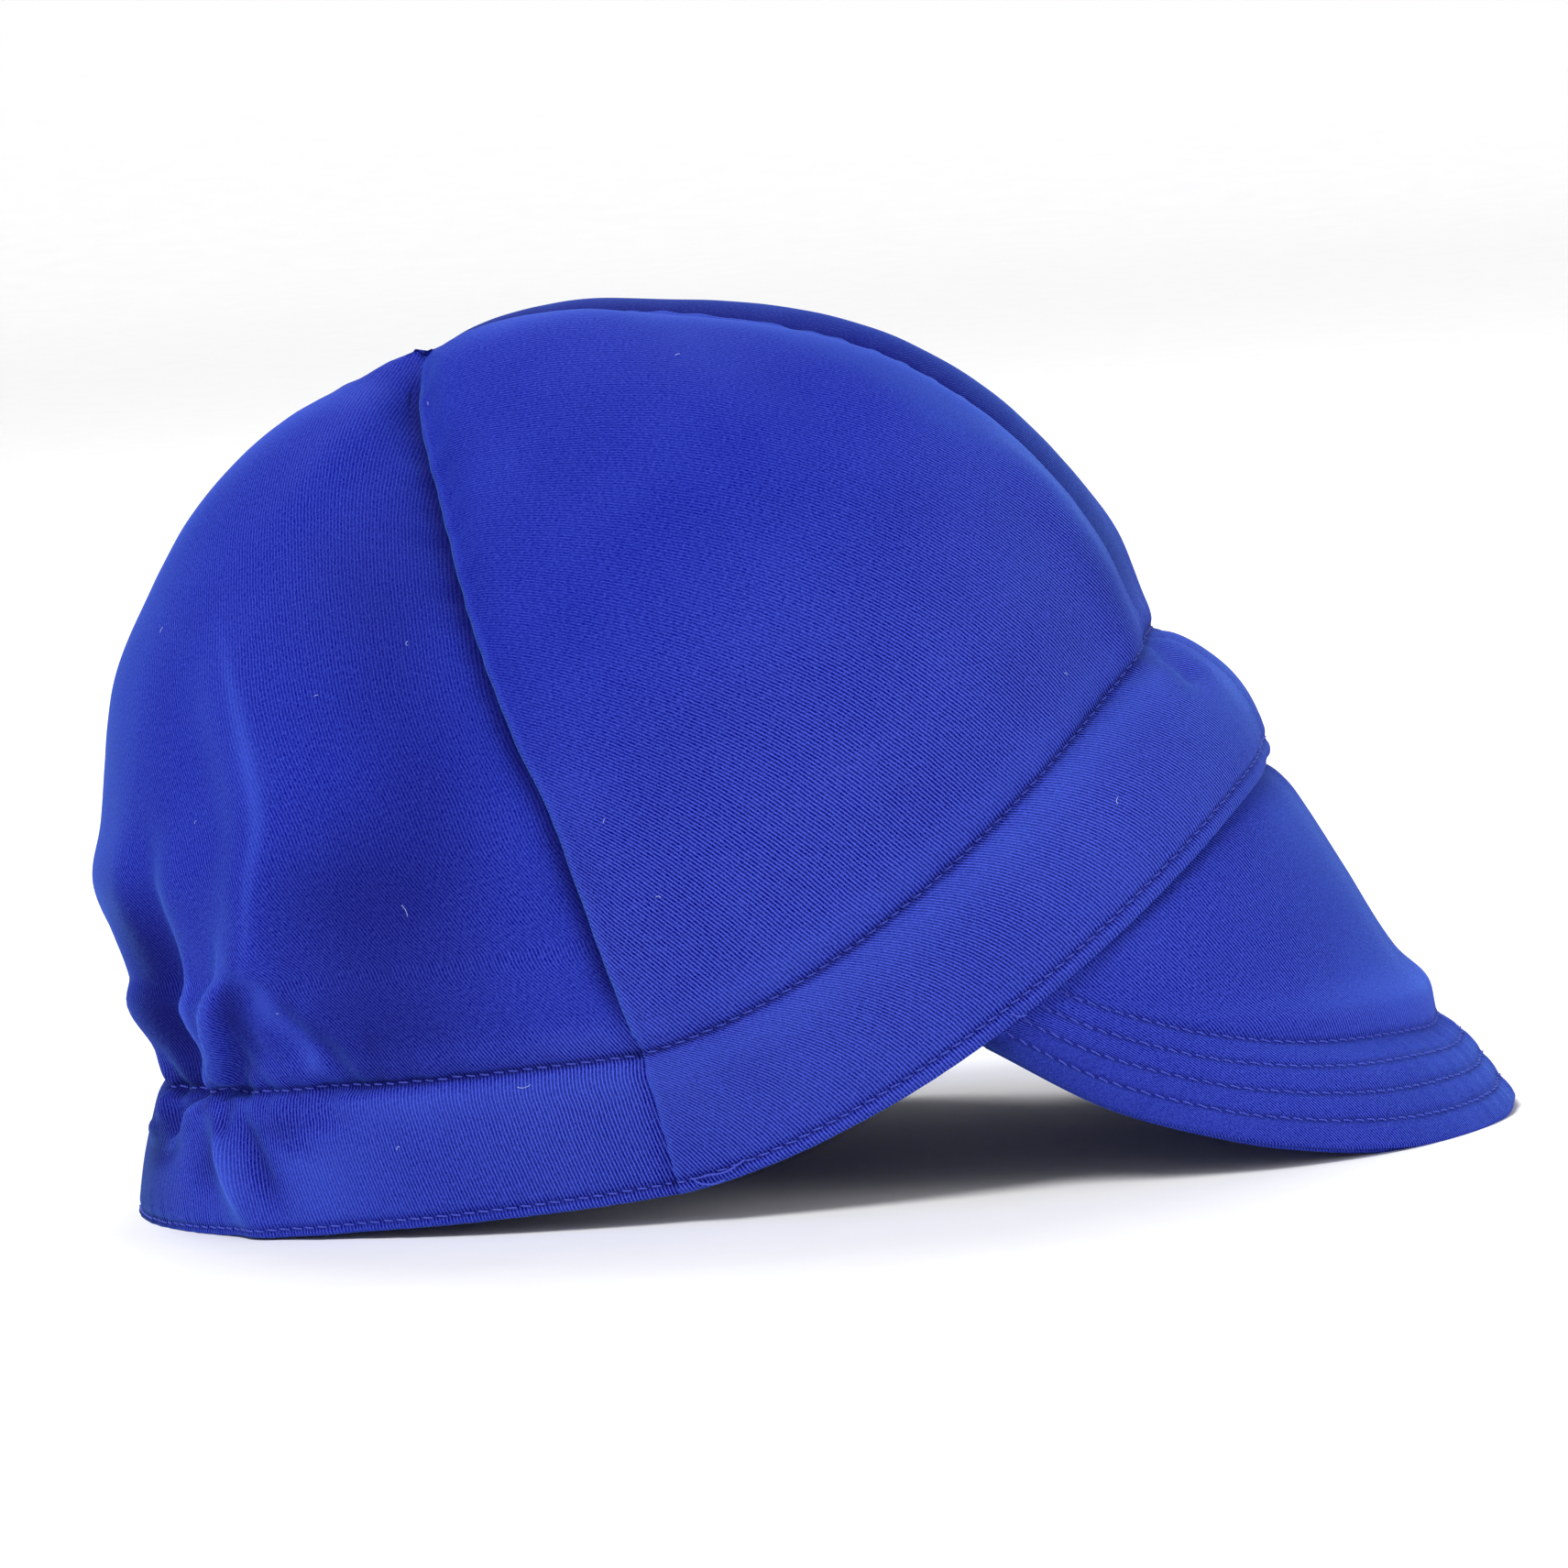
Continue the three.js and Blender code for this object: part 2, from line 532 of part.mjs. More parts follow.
// One layer of the peak, a given depth below its upper face. Rows close up at the hem.
function peakGeometry(depthBelow) {
  const outer = [];
  const inner = [];
  for (let row = 0; row <= PEAK_TUCK_ROWS + PEAK_ROWS; row += 1) {
    const outerRow = [];
    const innerRow = [];
    for (let column = 0; column <= PEAK_COLUMNS; column += 1) {
      const across = -1 + 2 * column / PEAK_COLUMNS;
      const hemShare = Math.min(tuckedShare(across), MOST_TUCKED);
      const out = row <= PEAK_TUCK_ROWS
        ? hemShare * row / PEAK_TUCK_ROWS
        : hemShare + (1 - hemShare) * (row - PEAK_TUCK_ROWS) / PEAK_ROWS;
      const normal = peakNormal(across, out);
      const top = plainPeakPoint(across, out)
        .addScaledVector(normal, peakRelief(across, out) - depthBelow);
      outerRow.push(top);
      innerRow.push(top.clone().addScaledVector(normal, -PEAK_CLOTH));
    }
    outer.push(outerRow);
    inner.push(innerRow);
  }
  return solidBetween(outer, inner);
}

function clothMaterial(name) {
  const material = new THREE.MeshStandardMaterial({
    color: CLOTH_BLUE,
    roughness: 0.75,
    metalness: 0,
  });
  material.name = name;
  return material;
}

function addPiece(group, name, geometry) {
  const mesh = new THREE.Mesh(geometry, clothMaterial('blue_twill'));
  mesh.name = name;
  group.add(mesh);
}

const cap = new THREE.Group();
cap.name = 'welding_cap';
addPiece(cap, 'front_panel_right', panelGeometry(-1, 0, FRONT_COLUMNS));
addPiece(cap, 'front_panel_left', panelGeometry(0, 1, FRONT_COLUMNS));
addPiece(cap, 'back_panel_right', panelGeometry(-2, -1, BACK_COLUMNS));
addPiece(cap, 'back_panel_left', panelGeometry(1, 2, BACK_COLUMNS));
addPiece(cap, 'peak_top', peakGeometry(0));
addPiece(cap, 'peak_under', peakGeometry(PEAK_CLOTH + GAP));

// The origin is under the middle of the whole cap, on what it rests on.
const extent = new THREE.Box3().setFromObject(cap);
const centre = extent.getCenter(new THREE.Vector3());
cap.position.set(-centre.x, -centre.y, -extent.min.z);

export default cap;
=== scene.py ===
# The looks of a welder's cap of blue cotton twill, sewn round its construction model.
#
# Metres. +X points to the peak, +Y to the wearer's left and +Z up. A place on the cap is
# (around, down): around is 0 at the front seam, 1 at the left side seam, -1 at the right
# one and 2 at the back seam; down is 0 at the top point, 1 at the hem's upper stitch line
# and 2 at the hem's edge.

import math

import bmesh
import bpy
import numpy as np
from mathutils import Matrix, Vector


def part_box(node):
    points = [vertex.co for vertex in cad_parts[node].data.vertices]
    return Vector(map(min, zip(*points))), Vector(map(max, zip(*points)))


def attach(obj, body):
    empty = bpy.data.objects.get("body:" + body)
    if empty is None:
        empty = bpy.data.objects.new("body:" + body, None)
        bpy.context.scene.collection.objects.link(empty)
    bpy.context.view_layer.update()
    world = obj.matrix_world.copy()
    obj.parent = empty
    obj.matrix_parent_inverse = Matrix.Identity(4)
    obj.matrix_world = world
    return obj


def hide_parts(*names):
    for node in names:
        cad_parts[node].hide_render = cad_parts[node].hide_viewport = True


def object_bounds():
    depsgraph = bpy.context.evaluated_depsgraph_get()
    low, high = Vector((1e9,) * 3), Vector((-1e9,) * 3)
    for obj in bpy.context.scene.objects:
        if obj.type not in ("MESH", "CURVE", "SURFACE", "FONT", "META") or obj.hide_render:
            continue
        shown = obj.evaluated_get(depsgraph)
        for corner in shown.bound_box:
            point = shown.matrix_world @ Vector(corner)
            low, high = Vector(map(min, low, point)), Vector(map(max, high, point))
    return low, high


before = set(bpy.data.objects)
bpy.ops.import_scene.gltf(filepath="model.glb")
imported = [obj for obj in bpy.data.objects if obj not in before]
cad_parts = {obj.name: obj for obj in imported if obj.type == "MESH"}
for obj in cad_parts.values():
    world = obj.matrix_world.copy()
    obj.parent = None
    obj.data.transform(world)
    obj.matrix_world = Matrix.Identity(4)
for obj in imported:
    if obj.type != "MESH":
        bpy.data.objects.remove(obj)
FRAME_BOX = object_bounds()

# The sewn form, with the construction's own sizes
CROWN_LENGTH = 0.190
CROWN_WIDTH = 0.164
CROWN_DEPTH = 0.1305
HEM_WIDTH = 0.024
CLOTH = 0.0012
HEM_CLOTH = 0.0024
PEAK_CLOTH = 0.0013
PEAK_REACH = 0.039
PEAK_TUCK = 0.007
GAP = 0.0003
PEAK_SEAT = 0.0006
POCKET_ROOM = 0.002
FLOOR_PRESS = 0.0007
FRONT_VALLEY = 0.004
SIDE_VALLEY = 0.0028
BACK_VALLEY = 0.0020
VALLEY_WIDTH = 0.009
TURNED_WIDTH = 0.004
STITCH_BOW = 0.0095
HEM_BOW = 0.0094
BACK_BOW = 0.0008
STITCH_GROOVE = 0.0009
STITCH_GROOVE_WIDTH = 0.0025
FOLD_WIDTH = 0.006
FOLD_RISE = 0.003
PEAK_PUFF = 0.002
PEAK_CREASE = 0.0018
PEAK_CREASE_WIDTH = 0.004
PEAK_FLANGE = 0.020
PEAK_SIDE_FLANGE = 0.023
PEAK_LEAST_ROOM = 0.001
ROUNDNESS = 0.86
BOW_FLATNESS = 2.1
SEAM_SLACK = 0.8
HELD_FROM = 0.8
HELD_TO = 1.05
POCKET_EASE = 0.1
POCKET_PAST = 0.08
MOST_TUCKED = 0.8
PEAK_SPAN = 0.69
SIDE_FROM = 0.4
FOLD_FADE = 0.35
DOUBLED_FROM = 0.978
DOUBLED_TO = 0.984
STEP = 0.004  # step in around and down for a slope

# Fine form that only the looks hold
SEAM_GAP = 0.0001  # between the turned edges of two panels
SEAM_ROLL = 0.0010  # width of the rounding of a turned edge
SEAM_LAP = 0.018  # how far round a panel runs on under its neighbour at a seam
SEAM_DIP = 0.0014  # how far the panel underneath slopes down at a seam
SEAM_LIFT = 0.0005  # how far the turned edge above it stands up
SEAM_LIFT_WIDTH = 0.004
SEAM_UNDER = 0.0003  # clear of the turned edge where a panel runs on underneath
TOP_REACH = 0.05  # share of the way down over which the top point is held level
SEAM_PUCKER = 0.00025
SEAM_PUCKER_REACH = 0.006
STITCH_DIP = 0.00065  # cloth drawn in under a row of stitches
STITCH_DIP_WIDTH = 0.0009
HEM_BEAD = 0.00025  # the folded edge stands full below the hem's lower row
BEAD_PLACE = 0.5  # in shares of the way from the edge to that row
BEAD_WIDTH = 0.4
HEM_PUCKER = 0.0002
BACK_PUCKER = 0.0007  # the back of the hem is gathered on its stitch line
BACK_PUCKER_AROUND = (1.0, 1.5)
PEAK_PUCKER = 0.0002
PEAK_QUILT = 0.00008  # fullness between two stitched rows of the peak
PEAK_DIP = 0.00022  # cloth drawn in under the rows of the peak
CLOTH_UNEVEN = 0.00014
CLOTH_WAVE = 0.030
FINE_UNEVEN = 0.000028
FINE_WAVE = 0.011
PEAK_UNEVEN = 0.00007
PEAK_WAVE = 0.022
SIDE_DIP_WIDTH = 0.0045  # how wide the panel underneath slopes at a side seam
MIDDLE_DIP_WIDTH = 0.0028  # and at a middle seam
SEAM_PUCKER_WAVE = 0.008
HEM_PUCKER_WAVE = 0.0062
HEM_PUCKER_REACH = 0.006
ROW_PUCKER = 0.00014  # at the hem's lower row
ROW_PUCKER_WAVE = 0.005
ROW_PUCKER_REACH = 0.004
ROW_DIP = 0.00039
PUCKER_SLANT = 0.4  # how far a pucker leans round the cap on its way down
PEAK_PUCKER_WAVE = 0.0065
PEAK_PUCKER_SPREAD = 0.45  # share of the way across over which the peak's rows pucker
CROWN_RUN = 0.15  # about the length of a panel
GIRTH_RUN = 0.13  # about the way round a quarter of the cap
FREE_TO = 0.90  # shares of the way down between which the hem takes hold of the seams
HELD_AT = 1.0
HELD_SHARE = 0.25  # what is left there of the seams' relief
TOP_EASE = 0.10  # shares of the way down over which relief grows from nothing at the top point
UNEVEN_EASE = 0.2
SEAM_FROM = 0.02
SEAM_FULL = 0.11
HEM_ROLL = 0.0012  # width of the rounding of the hem's edge
PEAK_ROLL = 0.0009  # and of the peak's edge
PEAK_SIDE_ROLL = 0.0006
PEAK_EASE = 0.002  # way in from the peak's edge over which its puckers grow
FLANGE_EASE = 0.004
ROW_EASE = 0.004  # a peak row fades where it comes this close to the hem
THREAD = 0.00032  # thickness of the sewing thread
STITCH_LENGTH = 0.0025
STITCH_ARCH = 2.7  # height of a stitch between its holes, in half threads
STITCH_SUNK = 1.9  # how deep its ends go, in half threads
STITCH_SPREAD = 0.00003
OUTER_SLANT = 0.00035
INNER_SLANT = 0.0001
PEAK_SLANT = 0.00045
LINT_THICK = 0.00011
LINT_LIFT = 0.0001
PEAK_STITCH_ROWS = 4
ALLOWANCE = 0.007  # seam allowance pressed to each side inside the crown
ALLOWANCE_CLOTH = 0.0005
ALLOWANCE_LIFT = 0.00005  # clear of the panels' inner faces
ALLOWANCE_ROLL = 0.0006
ALLOWANCE_TOP = 0.08  # the share of the way down where the allowances start
ALLOWANCE_END = 0.97  # and where they end
ALLOWANCE_MOST = 0.45  # most of a panel's width that an allowance takes near the top

# Tones of the cloth: above 0 where a highlight is painted on, below 0 where shade is painted
# on; only the faint mottle is the cloth's own
MOTTLE_TONE = 0.03
MOTTLE_WAVE = 0.02
CREASE_TONE = 0.9  # painted highlight on a crease's ridge, and painted shade in its valley
# painted highlight on the folds' ridges and painted shade in their valleys
FOLD_TONE = 0.10
EDGE_TONE = 0.25  # painted highlight on the turned edge of a seam
EDGE_PLACE = 0.0006
EDGE_WIDTH = 0.0008
SEAM_TONE = -0.9  # painted shade beside it, on the panel underneath
SEAM_TONE_WIDTH = 0.0022
VALLEY_TONE = -0.70  # painted shade on the far side of the front seam's valley
VALLEY_REACH = 0.015
SHOULDER_TONE = 0.42  # painted highlight on the shoulders beside the middle seams
SHOULDER = 0.010
SHOULDER_WIDTH = 0.008
SHOULDER_TOP = (0.05, 0.15)
SHOULDER_END = (0.65, 0.9)
ROW_TONE = -0.75  # painted shade in the groove of the hem's stitches
ROW_TONE_WIDTH = 0.0006
FULL_TONE = 0.12  # painted highlight on the full cloth beside the stitch line
FULL_PLACE = 0.004
FULL_WIDTH = 0.003
# painted light: the hem paler all round below its stitch line
HEM_TONE = 0.11
HEM_TONE_FROM = (0.98, 1.1)
BACK_TONE = -0.85  # painted shade on the hem beside the back seam
BACK_TONE_AROUND = (1.62, 1.84)
BACK_TONE_DOWN = (0.95, 1.05)
# painted shade in the grooves of the peak's rows of stitches
PEAK_ROW_TONE = -0.7
TIP_TONE = 0.5  # painted highlight on the full cloth behind the first stitch row, at the peak's tip
TIP_PLACE = 0.005
TIP_WIDTH = 0.006
TIP_SPREAD = 0.35

# How clearly the wales show, from 0 to 1
FRONT_GRAIN = 0.22
FRONT_GRAIN_ADDED = 0.78
FRONT_GRAIN_DOWN = (0.5, 0.9)
BACK_GRAIN = 0.32
BACK_GRAIN_ADDED = 0.20
BACK_GRAIN_DOWN = (0.6, 0.95)
HEM_GRAIN_ADDED = 0.18
SIDE_GRAIN_ADDED = 0.3
SIDE_GRAIN_SPREAD = 0.14
HEM_GRAIN_DOWN = (0.93, 1.0)
PEAK_GRAIN = 0.75

# Where each draw of random waves starts
CLOTH_SEED = 3
FINE_SEED = 5
MOTTLE_SEED = 7
PEAK_MOTTLE_SEED = 9
SEAM_SEED = 11
HEM_SEED = 21
ROW_SEED = 22
PEAK_PUCKER_SEED = 31
PEAK_SEED = 33
STITCH_SEED = 40

# How many waves make a draw, and how much their lengths spread
LINE_WAVES = 5
SPACE_WAVES = 14
WAVE_SPREAD = (0.6, 1.7)
SPACE_SPREAD = (0.6, 1.6)

# Fineness of the meshes
FRONT_COLUMNS = 130
BACK_COLUMNS = 150
CROWN_ROWS = 150
HEM_ROWS = 46
PEAK_COLUMNS = 230
PEAK_ROWS = 104
ALLOWANCE_COLUMNS = 10
TUCK_ROWS = 0.12  # share of the peak's rows that lie inside the hem
STEPS_PER_STITCH = 8
THREAD_SIDES = 6
LOOSE_STEPS = 6
LINT_STEPS = 5
LINT_SIDES = 4
CLOSER_STEPS = 4000

# Where the mesh is closer together: place, width and times
CLOSER_AT_SEAM = (0.025, 3)
CLOSER_ON_CROWN = ((1, 0.012, 2),)
CLOSER_ON_HEM = ((1, 0.06, 1), (1.9, 0.12, 0.6), (2, 0.02, 5))
CLOSER_ACROSS_PEAK = ((-1, 0.02, 2), (1, 0.02, 2))
CLOSER_OUT_PEAK = ((1, 0.03, 3), (0, 0.02, 2))


def table(columns, *rows):
    """Rows of numbers as a dictionary of named columns."""
    values = np.array(rows, float).T
    return dict(zip(columns.split(), values))


# The crown seams: along and drop are shares of the crown's length and depth, from its back
# and its top; out is a share of half its width.
FRONT_SEAM = table(
    "down  along   drop  out",
    (0.00, 0.343, 0.036, 0),
    (0.08, 0.400, 0.009, 0),
    (0.16, 0.466, -0.004, 0),
    (0.26, 0.545, -0.004, 0),
    (0.37, 0.637, 0.018, 0),
    (0.48, 0.722, 0.051, 0),
    (0.58, 0.797, 0.099, 0),
    (0.69, 0.870, 0.177, 0),
    (0.80, 0.930, 0.276, 0),
    (0.89, 0.967, 0.372, 0),
    (0.96, 0.988, 0.461, 0),
    (1.00, 1.001, 0.500, 0),
)
SIDE_SEAM = table(
    "down  along   drop   out",
    (0.00, 0.343, 0.036, 0.00),
    (0.12, 0.347, 0.122, 0.22),
    (0.26, 0.369, 0.227, 0.44),
    (0.46, 0.403, 0.382, 0.74),
    (0.62, 0.441, 0.533, 0.90),
    (0.71, 0.469, 0.626, 0.955),
    (0.80, 0.488, 0.715, 0.985),
    (0.89, 0.510, 0.826, 1.00),
    (1.00, 0.536, 0.951, 0.99),
)
BACK_SEAM = table(
    "down  along   drop  out",
    (0.00, 0.343, 0.036, 0),
    (0.07, 0.285, 0.079, 0),
    (0.17, 0.217, 0.128, 0),
    (0.25, 0.167, 0.183, 0),
    (0.33, 0.122, 0.256, 0),
    (0.43, 0.077, 0.364, 0),
    (0.54, 0.042, 0.474, 0),
    (0.68, 0.023, 0.645, 0),
    (0.76, 0.011, 0.731, 0),
    (0.86, 0.040, 0.845, 0),
    (0.90, 0.035, 0.887, 0),
    (0.95, 0.058, 0.945, 0),
    (1.00, 0.062, 0.995, 0),
)

# The hem below the stitch line, in shares of its width.
FRONT_HEM = table(
    "down forward drop draw",
    (1.00, 0.00, 0.00, 0),
    (1.25, 0.29, 0.17, 0),
    (1.50, 0.54, 0.40, 0),
    (1.75, 0.70, 0.70, 0),
    (2.00, 0.76, 1.03, 0),
)
SIDE_HEM = table(
    "down forward drop draw",
    (1.00, 0.00, 0.00, 0.00),
    (1.45, 0.08, 0.44, 0.03),
    (2.00, 0.18, 1.03, 0.12),
)
BACK_HEM = table(
    "down forward drop draw",
    (1.00, 0.00, 0.00, 0),
    (1.20, -0.09, 0.21, 0),
    (1.60, -0.21, 0.60, 0),
    (2.00, -0.28, 1.01, 0),
)

# Folds and gathers, from start to end down the cap. wide and rise are shares of FOLD_WIDTH
# and FOLD_RISE, negative for a valley.
RIGHT_FOLDS = table(
    "start end around_start around_end bend wide rise",
    (0.42, 1.04, -1.50, -1.66, 0.22, 1.2, 1.3),
    (0.80, 1.03, -1.40, -1.65, 0.00, 0.6, 0.6),
    (0.64, 1.05, -1.60, -1.69, 0.00, 0.9, -1.3),
    (0.76, 1.05, -1.80, -1.76, 0.00, 1.0, 0.5),
    (0.84, 1.04, -1.39, -1.60, 0.00, 0.6, -0.6),
    (0.80, 0.99, -1.44, -1.30, 0.00, 0.7, 0.4),
    (0.86, 1.08, -1.38, -1.35, 0.00, 0.9, -0.5),
    (0.95, 1.45, -1.72, -1.82, 0.00, 0.7, 0.6),
    (0.94, 1.60, -1.67, -1.74, 0.00, 0.6, -0.9),
    (0.96, 1.55, -1.63, -1.75, 0.00, 0.6, 0.7),
    (1.00, 2.00, -1.62, -1.58, 0.00, 0.8, -0.5),
    (1.02, 2.40, -1.63, -1.44, 0.03, 0.8, 0.8),
    (0.92, 1.35, -1.40, -1.37, 0.00, 0.8, -0.4),
    (1.05, 2.50, -1.47, -1.36, 0.00, 1.0, 0.4),
    (0.03, 0.38, -1.14, -1.40, 0.00, 0.9, 0.4),
    (0.02, 1.00, -0.12, -0.11, 0.00, 2.0, -0.6),
    (0.20, 0.68, -0.20, -0.44, 0.00, 1.7, -0.5),
    (0.66, 1.10, -0.18, -0.17, 0.00, 1.4, 0.9),
    (0.96, 1.45, -0.07, -0.13, 0.00, 0.9, -0.8),
)
LEFT_FOLDS = table(
    "start end around_start around_end bend wide rise",
    (0.46, 1.04, 1.42, 1.52, -0.10, 1.4, 0.9),
    (0.58, 1.06, 1.60, 1.60, 0.02, 0.9, -1.2),
    (0.74, 1.05, 1.76, 1.76, 0.00, 0.9, 0.8),
    (0.82, 1.04, 1.46, 1.58, 0.00, 0.6, 0.5),
    (0.82, 1.06, 1.40, 1.32, 0.00, 0.8, -0.5),
    (0.94, 1.65, 1.60, 1.70, 0.03, 0.7, -0.8),
    (0.97, 1.55, 1.50, 1.40, 0.00, 0.7, 0.5),
    (1.05, 2.30, 1.66, 1.52, 0.00, 0.8, 0.7),
    (0.96, 1.50, 1.76, 1.84, 0.00, 0.7, 0.5),
    (0.18, 0.62, 0.20, 0.40, 0.00, 1.6, -0.5),
    (0.78, 1.12, 0.15, 0.17, 0.00, 1.2, 0.7),
)

# Crisp creases beside the gathers, which only the looks hold.
CREASES = table(
    "start end around_start around_end bend wide rise",
    (0.80, 1.03, -1.575, -1.645, 0.00, 0.32, 0.40),
    (0.81, 1.03, -1.605, -1.675, 0.00, 0.30, -0.50),
    (0.78, 1.02, -1.420, -1.625, 0.00, 0.35, 0.35),
    (0.85, 1.03, -1.430, -1.600, 0.00, 0.30, -0.35),
    (0.86, 1.02, -1.330, -1.420, 0.00, 0.35, 0.20),
    (0.90, 1.02, -1.480, -1.530, 0.00, 0.30, 0.20),
    (0.92, 1.03, -1.280, -1.300, 0.00, 0.35, -0.15),
    (0.97, 1.40, -1.665, -1.725, 0.00, 0.28, -0.40),
    (0.98, 1.50, -1.645, -1.745, 0.00, 0.28, 0.35),
    (0.98, 1.35, -1.575, -1.560, 0.00, 0.30, -0.25),
    (1.02, 1.90, -1.625, -1.500, 0.02, 0.30, 0.35),
    (1.04, 1.80, -1.560, -1.450, 0.02, 0.32, -0.30),
    (0.98, 1.30, -1.480, -1.460, 0.00, 0.35, 0.20),
    (0.80, 1.03, 1.575, 1.640, 0.00, 0.32, 0.35),
    (0.82, 1.03, 1.610, 1.680, 0.00, 0.30, -0.40),
    (0.84, 1.02, 1.420, 1.540, 0.00, 0.35, 0.30),
    (0.97, 1.50, 1.640, 1.720, 0.00, 0.30, 0.30),
    (0.98, 1.40, 1.540, 1.500, 0.00, 0.30, -0.25),
)

# Painted shade, rise below 0, and painted highlights, rise above 0, in the gathers, folds and
# hollows: the tone at the middle of the run.
SHADES = table(
    "start end around_start around_end bend wide rise",
    (0.70, 1.10, -1.71, -1.71, 0.00, 1.5, -0.90),
    (0.40, 0.98, -1.50, -1.58, 0.20, 0.22, 0.30),
    (0.80, 1.06, -1.40, -1.575, 0.00, 0.45, -0.60),
    (0.62, 1.12, -1.20, -1.29, 0.00, 3.2, -0.56),
    (0.15, 0.95, -1.10, -1.12, 0.00, 2.0, -0.34),
    (0.82, 1.03, -1.44, -1.36, 0.00, 0.6, 0.50),
    (0.85, 1.02, -1.385, -1.35, 0.00, 0.5, -0.25),
    (0.84, 1.04, -1.58, -1.635, 0.00, 0.16, 0.40),
    (0.90, 1.20, -1.60, -1.64, 0.00, 0.4, -0.45),
    (0.97, 1.70, -1.72, -1.80, 0.00, 1.0, -0.35),
    (0.98, 1.35, -1.44, -1.42, 0.00, 1.6, -0.30),
    (0.97, 1.50, -1.66, -1.715, 0.00, 0.35, -0.50),
    (0.97, 1.50, -1.64, -1.735, 0.00, 0.25, 0.50),
    (1.00, 1.75, -1.59, -1.60, 0.00, 0.7, -0.55),
    (1.15, 1.95, -1.63, -1.50, 0.02, 0.25, 0.45),
    (1.30, 2.00, -1.40, -1.36, 0.00, 1.4, 0.14),
    (1.05, 1.90, -1.545, -1.44, 0.02, 0.5, -0.40),
    (1.00, 1.50, -1.50, -1.40, 0.00, 0.6, -0.30),
    (0.70, 1.10, 1.70, 1.71, 0.00, 1.7, -0.60),
    (0.76, 1.06, 1.28, 1.36, 0.00, 2.0, -0.35),
    (1.00, 1.75, 1.58, 1.60, 0.00, 0.8, -0.45),
    (0.80, 1.10, -0.20, -0.17, 0.00, 0.8, -0.30),
    (0.98, 1.40, -0.13, -0.17, 0.00, 0.6, -0.20),
)

# The edge of the peak from its tip to a corner, in shares of the way between them.
PEAK_EDGE = table(
    "across reach out lift",
    (0.00, 1.000, 0.00, 0.075),
    (0.12, 0.990, 0.17, 0.034),
    (0.24, 0.950, 0.35, 0.012),
    (0.36, 0.875, 0.54, 0.006),
    (0.48, 0.780, 0.70, 0.040),
    (0.60, 0.650, 0.83, 0.110),
    (0.72, 0.480, 0.93, 0.240),
    (0.86, 0.240, 0.99, 0.520),
    (1.00, 0.000, 1.00, 1.000),
)

# How full the peak is from the hem, way 0, to its first stitch row, way 1.
PEAK_FULLNESS = table(
    "way puff",
    (0.00, 0.00),
    (0.06, 0.60),
    (0.15, 0.85),
    (0.45, 0.20),
    (0.75, -0.60),
    (0.90, 0.10),
    (1.00, -0.30),
)

# Distance of the lower row of stitches from the hem's edge round the cap.
EDGE_STITCHES = table(
    "around inset",
    (0.0, 0.0036),
    (0.7, 0.0032),
    (1.0, 0.0024),
    (1.5, 0.0016),
    (2.0, 0.0014),
)


# Cut ends of thread and the back-tack at the right side seam, each a row of places.
LOOSE_THREADS = table(
    "thread around down lift",
    (1, -0.989, 1.907, 0.0002),
    (1, -0.977, 1.915, 0.0007),
    (1, -0.963, 1.924, 0.0006),
    (1, -0.946, 1.896, 0.0001),
    (2, -0.990, 1.900, 0.0001),
    (2, -0.984, 1.945, 0.0007),
    (2, -0.975, 1.960, 0.0008),
    (2, -0.966, 1.962, 0.0005),
    (3, -0.655, 1.930, 0.0001),
    (3, -0.648, 1.965, 0.0006),
    (3, -0.640, 1.985, 0.0008),
)

# Short fibres on the cloth: turn in degrees from level, curl in radians along the fibre.
LINT = table(
    "around down length turn curl",
    (-0.391, 0.375, 0.0012, 20, 1.5),
    (-0.973, 0.122, 0.0010, -50, 2.0),
    (-1.076, 0.483, 0.0012, 70, 3.0),
    (-1.225, 0.546, 0.0009, 10, 1.0),
    (-1.475, 0.673, 0.0008, 40, 2.0),
    (-1.176, 0.816, 0.0022, -70, 0.8),
    (-1.398, 0.906, 0.0007, 0, 3.0),
    (-1.264, 1.443, 0.0010, 30, 2.5),
    (-1.102, 1.079, 0.0024, 15, -1.2),
    (-0.955, 0.755, 0.0009, 60, 1.0),
    (-0.934, 0.855, 0.0010, -20, 2.0),
    (-0.413, 1.400, 0.0014, 60, 1.5),
    (-0.338, 0.949, 0.0010, -40, 2.0),
    (0.310, 0.420, 0.0012, 30, 1.5),
    (0.620, 0.700, 0.0010, -60, 2.0),
    (1.240, 0.550, 0.0012, 45, 2.0),
    (1.430, 0.820, 0.0014, -30, 1.0),
    (-1.640, 0.450, 0.0012, 80, 1.5),
)


# The sewn form

def read(rows, column, at, key="down"):
    """A smooth curve through one column of a table."""
    keys, values = rows[key], rows[column]
    slopes = np.empty_like(values)
    slopes[1:-1] = (values[2:] - values[:-2]) / (keys[2:] - keys[:-2])
    slopes[0] = (values[1] - values[0]) / (keys[1] - keys[0])
    slopes[-1] = (values[-1] - values[-2]) / (keys[-1] - keys[-2])
    row = np.clip(np.searchsorted(keys, at) - 1, 0, len(keys) - 2)
    span = keys[row + 1] - keys[row]
    share = (at - keys[row]) / span
    square = share * share
    cube = square * share
    return ((2 * cube - 3 * square + 1) * values[row]
            + (cube - 2 * square + share) * span * slopes[row]
            + (3 * square - 2 * cube) * values[row + 1]
            + (cube - square) * span * slopes[row + 1])


def smooth_step(low, high, value):
    share = np.clip((value - low) / (high - low), 0, 1)
    return share * share * (3 - 2 * share)


def bell(away, width):
    return np.exp(-(away / width) ** 2)


def length_of(vectors):
    return np.linalg.norm(vectors, axis=-1)


def unit(vectors):
    return vectors / np.maximum(length_of(vectors), 1e-12)[..., None]


